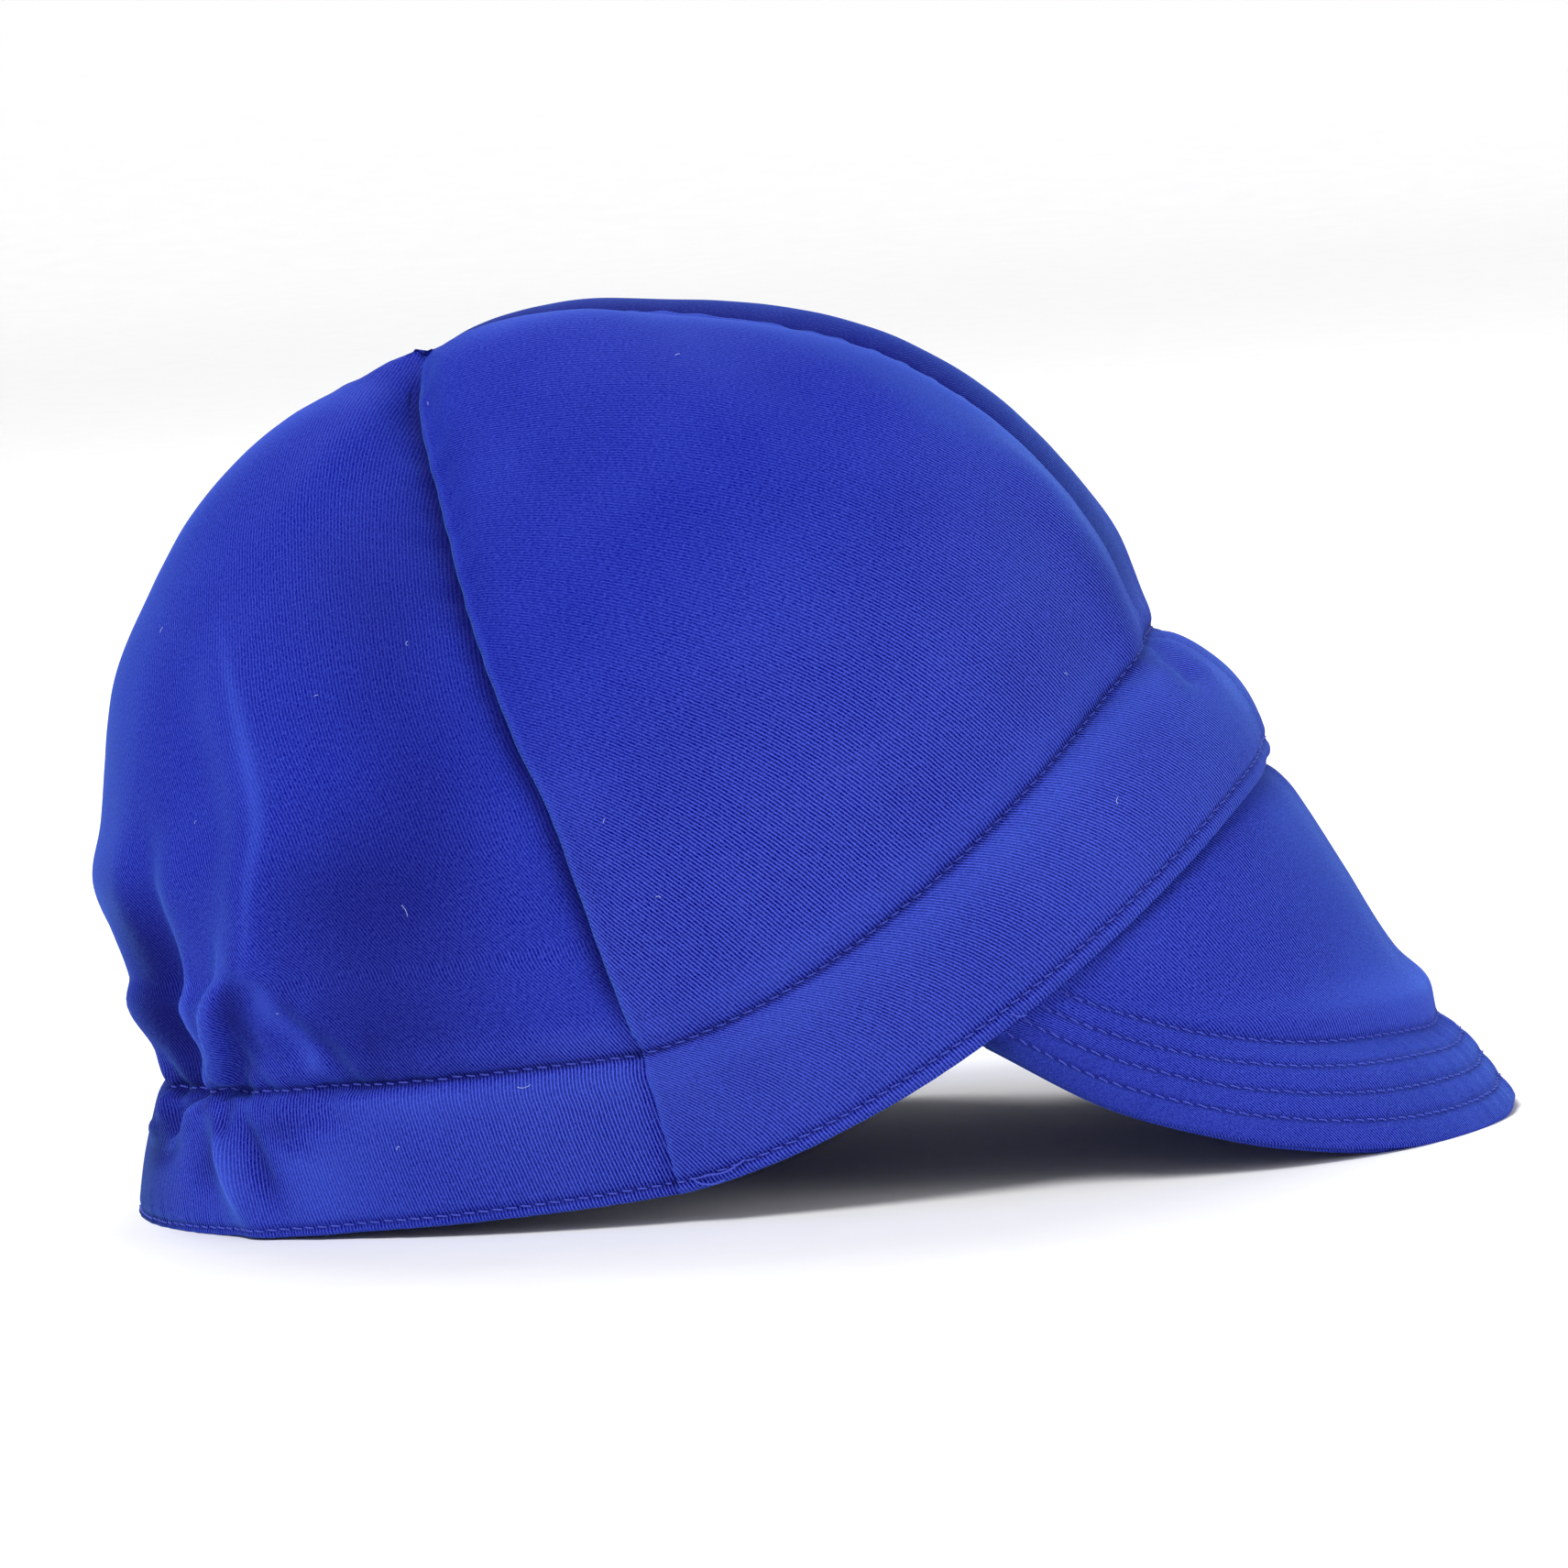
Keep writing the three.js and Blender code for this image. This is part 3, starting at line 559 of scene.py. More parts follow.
def seam_point(crown_rows, hem_rows, down):
    crown_down = np.minimum(down, 1)
    hem_down = np.maximum(down, 1)
    x = CROWN_LENGTH * read(crown_rows, "along", crown_down)
    y = CROWN_WIDTH / 2 * read(crown_rows, "out", crown_down)
    z = -CROWN_DEPTH * read(crown_rows, "drop", crown_down)
    x = x + HEM_WIDTH * read(hem_rows, "forward", hem_down)
    y = y - HEM_WIDTH * read(hem_rows, "draw", hem_down)
    z = z - HEM_WIDTH * read(hem_rows, "drop", hem_down)
    return np.stack([x, y, z], axis=-1)


def front_seam(down):
    return seam_point(FRONT_SEAM, FRONT_HEM, down)


def side_seam(down):
    return seam_point(SIDE_SEAM, SIDE_HEM, down)


def back_seam(down):
    return seam_point(BACK_SEAM, BACK_HEM, down)


def wrap(around):
    return around - 4 * np.floor(around / 4 + 0.5)


def plain_point(around, down):
    """The crown and hem before their seam valleys and folds."""
    wrapped = wrap(around)
    from_front = np.abs(wrapped)
    in_front = from_front <= 1
    side = side_seam(down)
    middle = np.where(in_front[..., None], front_seam(down), back_seam(down))
    angle = np.where(in_front, from_front, 2 - from_front) * math.pi / 2
    inward = np.maximum(np.cos(angle), 0) ** ROUNDNESS
    outward = np.maximum(np.sin(angle), 0) ** ROUNDNESS
    on_hem = np.maximum(down - 1, 0)
    at_stitches = np.where(in_front, STITCH_BOW * np.minimum(down, 1) ** 2, 0)
    at_edge = np.where(in_front, HEM_BOW, BACK_BOW)
    bow = at_stitches * (1 - on_hem) + at_edge * on_hem
    sag = bow * (1 - np.abs(2 * inward - 1) ** BOW_FLATNESS)
    x = side[..., 0] + (middle[..., 0] - side[..., 0]) * inward
    y = np.where(wrapped < 0, -1, 1) * side[..., 1] * outward
    z = side[..., 2] + (middle[..., 2] - side[..., 2]) * inward - sag
    return np.stack([x, y, z], axis=-1)


def slopes_of(surface, around, down):
    low = np.maximum(down - STEP, STEP / 2)
    high = np.minimum(down + STEP, 2)
    level = np.maximum(down, STEP)
    across = (surface(around + STEP, level) - surface(around - STEP, level)) / (2 * STEP)
    along = (surface(around, high) - surface(around, low)) / (high - low)[..., None]
    return across, along


def outward_normal(surface, around, down):
    across, along = slopes_of(surface, around, down)
    normal = unit(np.cross(along, across))
    normal[down < STEP] = (0, 0, 1)
    return normal


def valley_at(around, down, point):
    """Depth of the seam valleys, shallow where the hem holds them flat."""
    middle = np.where(np.abs(wrap(around)) <= 1, FRONT_VALLEY, BACK_VALLEY)
    side_width = np.where(np.abs(wrap(around)) <= 1, TURNED_WIDTH, VALLEY_WIDTH)
    at_middle = middle * bell(point[..., 1], VALLEY_WIDTH)
    at_side = SIDE_VALLEY * bell(point[..., 0] - side_seam(down)[..., 0], side_width)
    slack = 1 - SEAM_SLACK * smooth_step(HELD_FROM, HELD_TO, down)
    return np.maximum(at_middle, at_side) * slack


def fold_at(folds, around, down, length_around):
    """Rise of the folds where one unit of around has a given length."""
    rise = np.zeros_like(down)
    wrapped = wrap(around)
    for start, end, a_start, a_end, bend, wide, high in zip(*folds.values()):
        run = (down - start) / (end - start)
        centre = a_start + (a_end - a_start) * run + bend * 4 * run * (1 - run)
        away = (wrapped - centre) * length_around / (FOLD_WIDTH * wide)
        fade = smooth_step(0, FOLD_FADE, run) * smooth_step(0, FOLD_FADE, 1 - run)
        rise = rise + FOLD_RISE * high * fade * np.exp(-away ** 2)
    return rise


def outer_point(around, down):
    """The outer face of the crown and hem, with valleys, folds and the stitch line's draw."""
    point = plain_point(around, down)
    across, along = slopes_of(plain_point, around, down)
    length_around, length_down = length_of(across), length_of(along)
    groove = STITCH_GROOVE * bell((down - 1) * length_down, STITCH_GROOVE_WIDTH)
    offset = (fold_at(RIGHT_FOLDS, around, down, length_around)
              + fold_at(LEFT_FOLDS, around, down, length_around)
              - valley_at(around, down, point) - groove)
    return point + outward_normal(plain_point, around, down) * offset[..., None]


FLOOR = float(back_seam(np.array(2.0))[2]) + FLOOR_PRESS


def wall_at(around, down):
    """Thickness of the wall: the hem is doubled, but only its outer layer lies over the peak."""
    pocket_top = 2 - (PEAK_TUCK + POCKET_ROOM) / HEM_WIDTH
    pocket_end = PEAK_SPAN + POCKET_PAST
    doubled = smooth_step(DOUBLED_FROM, DOUBLED_TO, down)
    in_pocket = smooth_step(pocket_top - POCKET_EASE, pocket_top, down) * (
        1 - smooth_step(pocket_end, pocket_end + POCKET_PAST, np.abs(wrap(around))))
    return CLOTH + (HEM_CLOTH - CLOTH) * doubled * (1 - in_pocket)


def hem_inside(around, down):
    """The inner face of the hem's outer layer, where the peak is sewn in."""
    normal = outward_normal(outer_point, around, down)
    return outer_point(around, down) - normal * (CLOTH + PEAK_SEAT)


def peak_ribs(across):
    """For each place across the peak, where it is sewn in, where it leaves the hem and its edge."""
    around = across * PEAK_SPAN
    edge_of_hem = np.full_like(across, 2.0)
    sewn = hem_inside(around, edge_of_hem - PEAK_TUCK / HEM_WIDTH)
    leaving = hem_inside(around, edge_of_hem)
    corner = hem_inside(np.where(across < 0, -PEAK_SPAN, PEAK_SPAN), edge_of_hem)
    from_middle = np.abs(across)
    tip_x = front_seam(np.array(2.0))[0] + PEAK_REACH
    x = corner[:, 0] + (tip_x - corner[:, 0]) * read(PEAK_EDGE, "reach", from_middle, "across")
    y = corner[:, 1] * read(PEAK_EDGE, "out", from_middle, "across")
    z = FLOOR + (corner[:, 2] - FLOOR) * read(PEAK_EDGE, "lift", from_middle, "across")
    edge = np.stack([x, y, z], axis=-1)
    length = length_of(leaving - edge)
    flange = PEAK_FLANGE + (PEAK_SIDE_FLANGE - PEAK_FLANGE) * smooth_step(0, SIDE_FROM, from_middle)
    return {"sewn": sewn, "leaving": leaving, "edge": edge, "length": length, "flange": flange,
            "tucked": PEAK_TUCK / (PEAK_TUCK + length)}


def plain_peak(ribs, out):
    """The peak before its puff and crease, out from 0 inside the hem to 1 at its edge."""
    tucked = ribs["tucked"]
    inside = np.minimum(out / tucked, 1)[..., None]
    outside = np.maximum((out - tucked) / np.maximum(1 - tucked, 1e-6), 0)[..., None]
    return (ribs["sewn"] + (ribs["leaving"] - ribs["sewn"]) * inside
            + (ribs["edge"] - ribs["leaving"]) * outside)


def peak_normal(across, ribs, out):
    ahead = (plain_peak(peak_ribs(np.minimum(across + STEP, 1)), out)
             - plain_peak(peak_ribs(np.maximum(across - STEP, -1)), out))
    outwards = (plain_peak(ribs, np.minimum(out + STEP, 1))
                - plain_peak(ribs, np.maximum(out - STEP, 0)))
    return unit(np.cross(outwards, ahead))


def peak_relief(ribs, from_edge):
    """How far the peak stands off its plain surface, a given way in from its edge."""
    flange = ribs["flange"]
    room = np.maximum(ribs["length"] - flange, PEAK_LEAST_ROOM)
    way = np.clip((ribs["length"] - from_edge) / room, 0, 1)
    puff = PEAK_PUFF * read(PEAK_FULLNESS, "puff", way, "way")
    crease = PEAK_CREASE * bell(from_edge - flange, PEAK_CREASE_WIDTH)
    return (puff - crease) * smooth_step(0, 2 * flange, room)


def placed():
    """Where the construction model's origin lies in the form's own coordinates."""
    middle = np.zeros(1)
    ribs = peak_ribs(middle)
    rise = peak_relief(ribs, middle)[:, None]
    tip = ribs["edge"] + peak_normal(middle, ribs, middle + 1) * rise
    around, down = np.meshgrid(np.linspace(-2, 2, 161), np.linspace(0.6, 2, 57))
    sides = outer_point(around, down)[..., 1]
    low, high = FRAME_BOX
    return np.array([tip[0, 0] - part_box("peak_top")[1][0],
                     (sides.min() + sides.max()) / 2 - (low[1] + high[1]) / 2,
                     FLOOR])


ORIGIN = placed()


# Fine relief of the cloth

def wobble(run, wavelength, seed):
    """A smooth uneven wave from about -1 to 1 along a run."""
    draw = np.random.default_rng(seed)
    total = 0
    for _ in range(LINE_WAVES):
        total = total + np.sin(2 * math.pi * run / (wavelength * draw.uniform(*WAVE_SPREAD))
                               + draw.uniform(0, 2 * math.pi))
    return total / 3


def unevenness(points, wavelength, seed):
    """Smooth uneven waves from about -1 to 1 through space."""
    draw = np.random.default_rng(seed)
    total = 0
    for _ in range(SPACE_WAVES):
        way = draw.normal(size=3)
        way *= 2 * math.pi / (wavelength * draw.uniform(*SPACE_SPREAD) * np.linalg.norm(way))
        total = total + np.sin(points @ way + draw.uniform(0, 2 * math.pi))
    return total / 4


def edge_roll(distance, width, half_cloth):
    """How far each face of a turned edge rounds towards the middle of the cloth."""
    inward = 1 - np.clip(distance / width, 0, 1)
    return half_cloth * (1 - np.sqrt(np.maximum(1 - inward ** 2, 0)))


def run_along(points, axis):
    """Length along each row or column of a grid of points, from its first point."""
    steps = length_of(np.diff(points, axis=axis))
    runs = np.cumsum(steps, axis=axis)
    return np.insert(runs, 0, 0, axis=axis)


def grid_normals(points, upright=None):
    """Outward normals of a grid, turned upright where a share from 0 to 1 says so."""
    down_way = np.gradient(points, axis=0)
    around_way = np.gradient(points, axis=1)
    normal = unit(np.cross(down_way, around_way))
    if upright is not None:
        normal = unit(normal * (1 - upright)[..., None] + upright[..., None] * np.array([0, 0, 1]))
    return normal


def closer(start, end, count, *marks):
    """Values from start to end, closer together by (place, width, times) marks."""
    fine = np.linspace(start, end, CLOSER_STEPS + 1)
    density = np.ones_like(fine)
    for place, width, times in marks:
        density += times * bell(fine - place, width)
    total = np.insert(np.cumsum((density[1:] + density[:-1]) / 2), 0, 0)
    return np.interp(np.linspace(0, total[-1], count + 1), total, fine)


# Mesh helpers

def grid_object(name, points, coordinates, material, **layers):
    """A smooth closed piece from a grid of points whose borders meet where they fall together.

    The layers are values at the points: tone is -1 where shade is painted on the cloth, 0 where
    it is plain and 1 where a highlight is painted on; grain is how clearly its wales show, from 0 to 1.
    """
    rows, columns = points.shape[:2]
    shape = bmesh.new()
    bmesh.ops.create_grid(shape, x_segments=columns - 1, y_segments=rows - 1, size=1)
    mesh = bpy.data.meshes.new(name)
    shape.to_mesh(mesh)
    shape.free()
    flat = np.empty(len(mesh.vertices) * 3)
    mesh.vertices.foreach_get("co", flat)
    flat = flat.reshape(-1, 3)
    column = np.rint((flat[:, 0] + 1) / 2 * (columns - 1)).astype(int)
    row = np.rint((flat[:, 1] + 1) / 2 * (rows - 1)).astype(int)
    mesh.vertices.foreach_set("co", (points[row, column] - ORIGIN).ravel())
    corner = np.empty(len(mesh.loops), np.int32)
    mesh.loops.foreach_get("vertex_index", corner)
    layer = mesh.uv_layers.new(name="cloth")
    layer.data.foreach_set("uv", coordinates[row, column][corner].ravel())
    for key, values in layers.items():
        layer = mesh.attributes.new(key, "FLOAT", "POINT")
        layer.data.foreach_set("value", values[row, column].ravel())
    shape = bmesh.new()
    shape.from_mesh(mesh)
    bmesh.ops.remove_doubles(shape, verts=shape.verts, dist=2e-7)
    bmesh.ops.recalc_face_normals(shape, faces=shape.faces)
    for face in shape.faces:
        face.smooth = True
    shape.to_mesh(mesh)
    shape.free()
    piece = bpy.data.objects.new(name, mesh)
    bpy.context.scene.collection.objects.link(piece)
    mesh.materials.append(material)
    return piece


def shell(outer, inner):
    """One grid that runs down the outer face, round the edge and up the inner face."""
    points = np.concatenate([outer, inner[-2::-1]])
    points[..., 2] = np.maximum(points[..., 2], FLOOR)
    return points


# Materials

class Nodes:
    """A short way to write a material's nodes."""

    def __init__(self, name):
        self.material = bpy.data.materials.new(name)
        self.material.use_nodes = True
        self.tree = self.material.node_tree
        self.surface = self.tree.nodes["Principled BSDF"]

    def add(self, kind, inputs=None, **settings):
        node = self.tree.nodes.new(kind)
        for key, value in settings.items():
            setattr(node, key, value)
        for key, value in (inputs or {}).items():
            self.set(node.inputs[key], value)
        return node

    def set(self, socket, value):
        if isinstance(value, bpy.types.NodeSocket):
            self.tree.links.new(value, socket)
        else:
            socket.default_value = value

    def maths(self, operation, *values):
        node = self.add("ShaderNodeMath", operation=operation)
        for socket, value in zip(node.inputs, values):
            self.set(socket, value)
        return node.outputs[0]

    def noise(self, vector, scale, detail=2.0, roughness=0.5):
        node = self.add("ShaderNodeTexNoise",
                        {"Vector": vector, "Scale": scale, "Detail": detail, "Roughness": roughness})
        return node.outputs["Fac"]

    def stretch(self, value, low, high, to_low, to_high):
        node = self.add("ShaderNodeMapRange", {"Value": value, "From Min": low, "From Max": high,
                                               "To Min": to_low, "To Max": to_high})
        return node.outputs[0]

    def bump(self, height, strength, distance, normal=None):
        inputs = {"Strength": strength, "Distance": distance, "Height": height}
        if normal is not None:
            inputs["Normal"] = normal
        return self.add("ShaderNodeBump", inputs).outputs[0]

    def set_finish(self, values):
        for key, value in values.items():
            self.surface.inputs[key].default_value = value

    def blend(self, share, first, second):
        node = self.add("ShaderNodeMix", data_type="RGBA")
        self.set(node.inputs["Factor"], share)
        self.set(node.inputs["A"], first)
        self.set(node.inputs["B"], second)
        return node.outputs["Result"]


# The twill's own pattern. A turn is the angle in degrees from a piece's rows to its wales.
FRONT_TURN = 63
BACK_TURN = 68
PEAK_TURN = 86
WALE_PITCH = 0.00058
WALE_HEIGHT = 0.00010
WALE_SHARPNESS = 3.2
WALE_WANDER = 0.5 * WALE_PITCH
FLOAT_LENGTH = 0.00065
FLOAT_WIDTH = 0.0003
FLOAT_SHARPNESS = 1.6
FLOAT_RANGE = (0.25, 0.80)  # the noise's values that become its darkest and its palest flecks
NOISE_RANGE = (0.3, 0.7)  # where most values of a noise lie
WARP_SCALE = 200.0
BROAD_SCALE = 30.0
FUZZ_SCALE = 3200.0
THREAD_FUZZ_SCALE = 1500.0
FIBRE_SCALE = 2000.0
PAINT_SCALE = 60.0
WALE_SHARE = (0.30, 0.85)  # of the pattern in smooth cloth, and in cloth with clear wales
FLECK_SHARE = (0.85, 0.30)
BROAD_SHADE = (-0.03, 0.03)
FUZZ_SHADE = (-0.10, 0.14)
FUZZ_HEIGHT = 0.00015
MOST_HIGHLIGHT = 0.8  # how far the painted highlight and the painted shade hide the pattern
MOST_SHADED = 0.85
TWILL_ROUGHNESS = (0.72, 0.62)  # between the flecks and on them
THREAD_ROUGHNESS = (0.42, 0.55)
THREAD_LAY = 0.00045  # length of one turn of the thread's plies
PLY_HEIGHT = 0.00006

# Colours and finishes
DEEP_SMOOTH = (0.001, 0.003, 0.255, 1)  # between the wales where the cloth is smooth
WALE_SMOOTH = (0.030, 0.055, 0.490, 1)
DEEP_CRISP = (0.000, 0.000, 0.150, 1)  # and where they stand out
# the clear wales' whitish tops: partly their own paler colour, partly painted glint on the floats
WALE_CRISP = (0.092, 0.138, 0.830, 1)
# the paler blue of the painted highlights and faint mottle, and the darker blue of the painted shade
BLUE_HIGHLIGHT = (0.070, 0.132, 0.760, 1)
BLUE_SHADE = (0.003, 0.002, 0.070, 1)
TWILL_SHEEN = (0.13, 0.36, 1.0, 1)
THREAD_DEEP = (0.016, 0.022, 0.300, 1)
THREAD_PALE = (0.105, 0.150, 0.780, 1)
THREAD_SHEEN = (0.5, 0.6, 1.0, 1)
FIBRE_BLUE = (0.160, 0.240, 0.700, 1)
FIBRE_PALE = (0.600, 0.680, 0.900, 1)
FLOOR_DULL = (0.90, 0.90, 0.91, 1)
FLOOR_PALE = (0.94, 0.94, 0.94, 1)
TWILL_FINISH = {"Specular IOR Level": 0.02, "Sheen Weight": 0.44, "Sheen Roughness": 0.30,
                "Sheen Tint": TWILL_SHEEN}
THREAD_FINISH = {"Specular IOR Level": 0.06, "Sheen Weight": 0.1, "Sheen Tint": THREAD_SHEEN}
FIBRE_FINISH = {"Roughness": 0.8}
FLOOR_FINISH = {"Roughness": 0.9, "Specular IOR Level": 0.1}


def twill(name, turn):
    """Blue cotton twill on the piece's cloth coordinates, its wales turned by an angle."""
    n = Nodes(name)
    place = n.add("ShaderNodeUVMap", uv_map="cloth").outputs[0]
    turned = n.add("ShaderNodeMapping", {"Vector": place, "Rotation": (0, 0, -math.radians(turn))})
    solid = n.add("ShaderNodeTexCoord").outputs["Object"]
    grain = n.add("ShaderNodeAttribute", attribute_name="grain").outputs["Fac"]
    tone = n.add("ShaderNodeAttribute", attribute_name="tone").outputs["Fac"]
    fuzz = n.noise(solid, FUZZ_SCALE, 1.0)
    shade, floats = twill_pattern(n, turned.outputs[0], grain)
    shade = n.maths("ADD", shade, n.stretch(n.noise(solid, BROAD_SCALE), *NOISE_RANGE, *BROAD_SHADE))
    shade = n.maths("ADD", shade, n.stretch(fuzz, *NOISE_RANGE, *FUZZ_SHADE))
    colour = n.blend(shade, n.blend(grain, DEEP_SMOOTH, DEEP_CRISP),
                     n.blend(grain, WALE_SMOOTH, WALE_CRISP))
    # painted highlight where the tone is above 0, painted shade where it is below
    highlighted = n.blend(n.stretch(tone, 0, 1, 0, MOST_HIGHLIGHT), colour, BLUE_HIGHLIGHT)
    shaded = n.blend(n.stretch(tone, -1, 0, MOST_SHADED, 0), highlighted, BLUE_SHADE)
    n.set(n.surface.inputs["Base Color"], shaded)
    n.set(n.surface.inputs["Roughness"], n.stretch(floats, 0, 1, *TWILL_ROUGHNESS))
    n.set_finish(TWILL_FINISH)
    height = n.maths("MULTIPLY", shade, n.stretch(grain, 0, 1, 0.5, 1))
    soft = n.bump(fuzz, 0.4, FUZZ_HEIGHT)
    n.set(n.surface.inputs["Normal"], n.bump(height, 1.0, WALE_HEIGHT, soft))
    return n.material


def twill_pattern(n, place, grain):
    """The shade of the wales and of the flecks on them, and the flecks alone."""
    parts = n.add("ShaderNodeSeparateXYZ", {"Vector": place})
    along, across = parts.outputs[0], parts.outputs[1]
    wandering = n.maths("MULTIPLY_ADD", n.noise(place, WARP_SCALE), WALE_WANDER, across)
    wave = n.maths("SINE", n.maths("MULTIPLY", wandering, 2 * math.pi / WALE_PITCH))
    wales = n.maths("POWER", n.stretch(wave, -1, 1, 0, 1), WALE_SHARPNESS)
    streaks = n.add("ShaderNodeCombineXYZ", {
        "X": n.maths("MULTIPLY", along, 1 / FLOAT_LENGTH),
        "Y": n.maths("MULTIPLY", across, 1 / FLOAT_WIDTH),
    })
    noise = n.noise(streaks.outputs[0], 1.0, 2.0, 0.6)
    floats = n.maths("POWER", n.stretch(noise, *FLOAT_RANGE, 0, 1), FLOAT_SHARPNESS)
    ribbed = n.maths("MULTIPLY", wales, n.stretch(grain, 0, 1, *WALE_SHARE))
    flecked = n.maths("MULTIPLY", floats, n.stretch(grain, 0, 1, *FLECK_SHARE))
    return n.maths("ADD", ribbed, flecked), floats


def sewing_thread():
    """Twisted polyester thread, on the stitches' own coordinates."""
    n = Nodes("blue_thread")
    place = n.add("ShaderNodeUVMap", uv_map="cloth").outputs[0]
    parts = n.add("ShaderNodeSeparateXYZ", {"Vector": place})
    spiral = n.maths("MULTIPLY_ADD", parts.outputs[0], 1 / THREAD_LAY, parts.outputs[1])
    ply = n.stretch(n.maths("SINE", n.maths("MULTIPLY", spiral, 2 * math.pi)), -1, 1, 0, 1)
    fuzz = n.noise(n.add("ShaderNodeTexCoord").outputs["Object"], THREAD_FUZZ_SCALE)
    shade = n.maths("MULTIPLY_ADD", ply, 0.5, n.maths("MULTIPLY", fuzz, 0.5))
    n.set(n.surface.inputs["Base Color"], n.blend(shade, THREAD_DEEP, THREAD_PALE))
    n.set(n.surface.inputs["Roughness"], n.stretch(fuzz, *NOISE_RANGE, *THREAD_ROUGHNESS))
    n.set_finish(THREAD_FINISH)
    n.set(n.surface.inputs["Normal"], n.bump(ply, 0.6, PLY_HEIGHT))
    return n.material


def pale_fibre():
    """Short cotton fibres that cling to the cloth."""
    n = Nodes("pale_fibre")
    fuzz = n.noise(n.add("ShaderNodeTexCoord").outputs["Object"], FIBRE_SCALE, 1.0)
    n.set(n.surface.inputs["Base Color"], n.blend(fuzz, FIBRE_BLUE, FIBRE_PALE))
    n.set_finish(FIBRE_FINISH)
    return n.material


def floor_paint():
    """The pale, dull paint of the floor."""
    n = Nodes("pale_floor")
    grain = n.noise(n.add("ShaderNodeTexCoord").outputs["Object"], PAINT_SCALE, 3.0)
    n.set(n.surface.inputs["Base Color"], n.blend(grain, FLOOR_DULL, FLOOR_PALE))
    n.set_finish(FLOOR_FINISH)
    return n.material


# Panels of the crown and hem

def seam_side(around):
    """True where the seam at a panel's end is a side seam."""
    return abs(around) == 1


def laps_over(end, in_front, on_right):
    """True where a panel's turned edge lies on top of its neighbour at a seam."""
    return in_front if seam_side(end) else on_right


def seam_relief(end, distance, over):
    """Rise of the turned edge on top, or fall of the panel that runs on underneath."""
    if over:
        return SEAM_LIFT * bell(distance, SEAM_LIFT_WIDTH)
    width = SIDE_DIP_WIDTH if seam_side(end) else MIDDLE_DIP_WIDTH
    return -SEAM_DIP * bell(np.maximum(distance, 0), width)


def seam_freedom(down):
    """How freely the crown's seams stand, down to where the hem holds them."""
    return 1 - smooth_step(FREE_TO, HELD_AT, down)


def seam_hold(down):
    return HELD_SHARE + (1 - HELD_SHARE) * seam_freedom(down)


def ways_on_panel(around, down, points):
    """Ways along the cloth from the hem's edge, its stitch line and its lower row."""
    from_edge = run_along(points[::-1], 0)[::-1]
    above = from_edge - from_edge[np.argmin(np.abs(down[:, 0] - 1))]
    inset = read(EDGE_STITCHES, "inset", np.abs(wrap(around)), "around")
    return {"edge": from_edge, "above": above, "stitches": np.abs(above),
            "row": np.abs(from_edge - inset), "inset": inset}


def seams_rise(down, ends):
    """Rise and fall of a panel's cloth at its two seams."""
    rise = 0
    near_top = smooth_step(0, TOP_EASE, down)
    for end, distance, over in ends:
        grown = seam_hold(down) * smooth_step(SEAM_FROM, SEAM_FULL, down)
        rise = rise + seam_relief(end, distance, over) * grown
        if not over:
            rise = rise - SEAM_UNDER * smooth_step(0, SEAM_UNDER, -distance)
        pucker = wobble(down * CROWN_RUN, SEAM_PUCKER_WAVE, SEAM_SEED + int(abs(end)))
        pucker = pucker * bell(distance, SEAM_PUCKER_REACH) * seam_freedom(down)
        rise = rise + SEAM_PUCKER * pucker * near_top
    return rise


def hem_rise(around, ways):
    """Rise and fall of the cloth at the hem's two rows of stitches."""
    at_back = smooth_step(*BACK_PUCKER_AROUND, np.abs(wrap(around)))
    drawn = HEM_PUCKER + (BACK_PUCKER - HEM_PUCKER) * at_back
    slant = around * GIRTH_RUN + PUCKER_SLANT * ways["above"]
    inset = ways["inset"]
    return (drawn * wobble(slant, HEM_PUCKER_WAVE, HEM_SEED) * bell(ways["stitches"], HEM_PUCKER_REACH)
            + ROW_PUCKER * wobble(slant, ROW_PUCKER_WAVE, ROW_SEED) * bell(ways["row"], ROW_PUCKER_REACH)
            + HEM_BEAD * bell(ways["edge"] - BEAD_PLACE * inset, BEAD_WIDTH * inset)
            - STITCH_DIP * bell(ways["stitches"], STITCH_DIP_WIDTH)
            - ROW_DIP * bell(ways["row"], STITCH_DIP_WIDTH))


def relief(around, down, points, ways, ends, length_around):
    """Fine rise and fall of a panel's cloth on top of the sewn form."""
    broad = unevenness(points, CLOTH_WAVE, CLOTH_SEED) * smooth_step(0, UNEVEN_EASE, down)
    fine = unevenness(points, FINE_WAVE, FINE_SEED) * smooth_step(0, TOP_EASE, down)
    return (CLOTH_UNEVEN * broad + FINE_UNEVEN * fine
            + fold_at(CREASES, around, down, length_around)
            + seams_rise(down, ends) + hem_rise(around, ways))


def seams_tone(down, ends, in_front):
    """Painted shade and painted highlights along the two seams of a panel."""
    tone = 0
    near_top = smooth_step(0, TOP_EASE, down)
    for end, distance, over in ends:
        own_side = np.maximum(distance, 0)
        if over:
            tone = tone + EDGE_TONE * bell(distance - EDGE_PLACE, EDGE_WIDTH) * near_top
        else:
            tone = tone + SEAM_TONE * bell(own_side, SEAM_TONE_WIDTH) * seam_hold(down) * near_top
        if in_front and not over and not seam_side(end):
            tone = tone + VALLEY_TONE * bell(own_side, VALLEY_REACH) * seam_freedom(down)
        if over and not seam_side(end):
            shoulder = bell(distance - SHOULDER, SHOULDER_WIDTH) * smooth_step(*SHOULDER_TOP, down)
            tone = tone + SHOULDER_TONE * shoulder * (1 - smooth_step(*SHOULDER_END, down))
    return tone


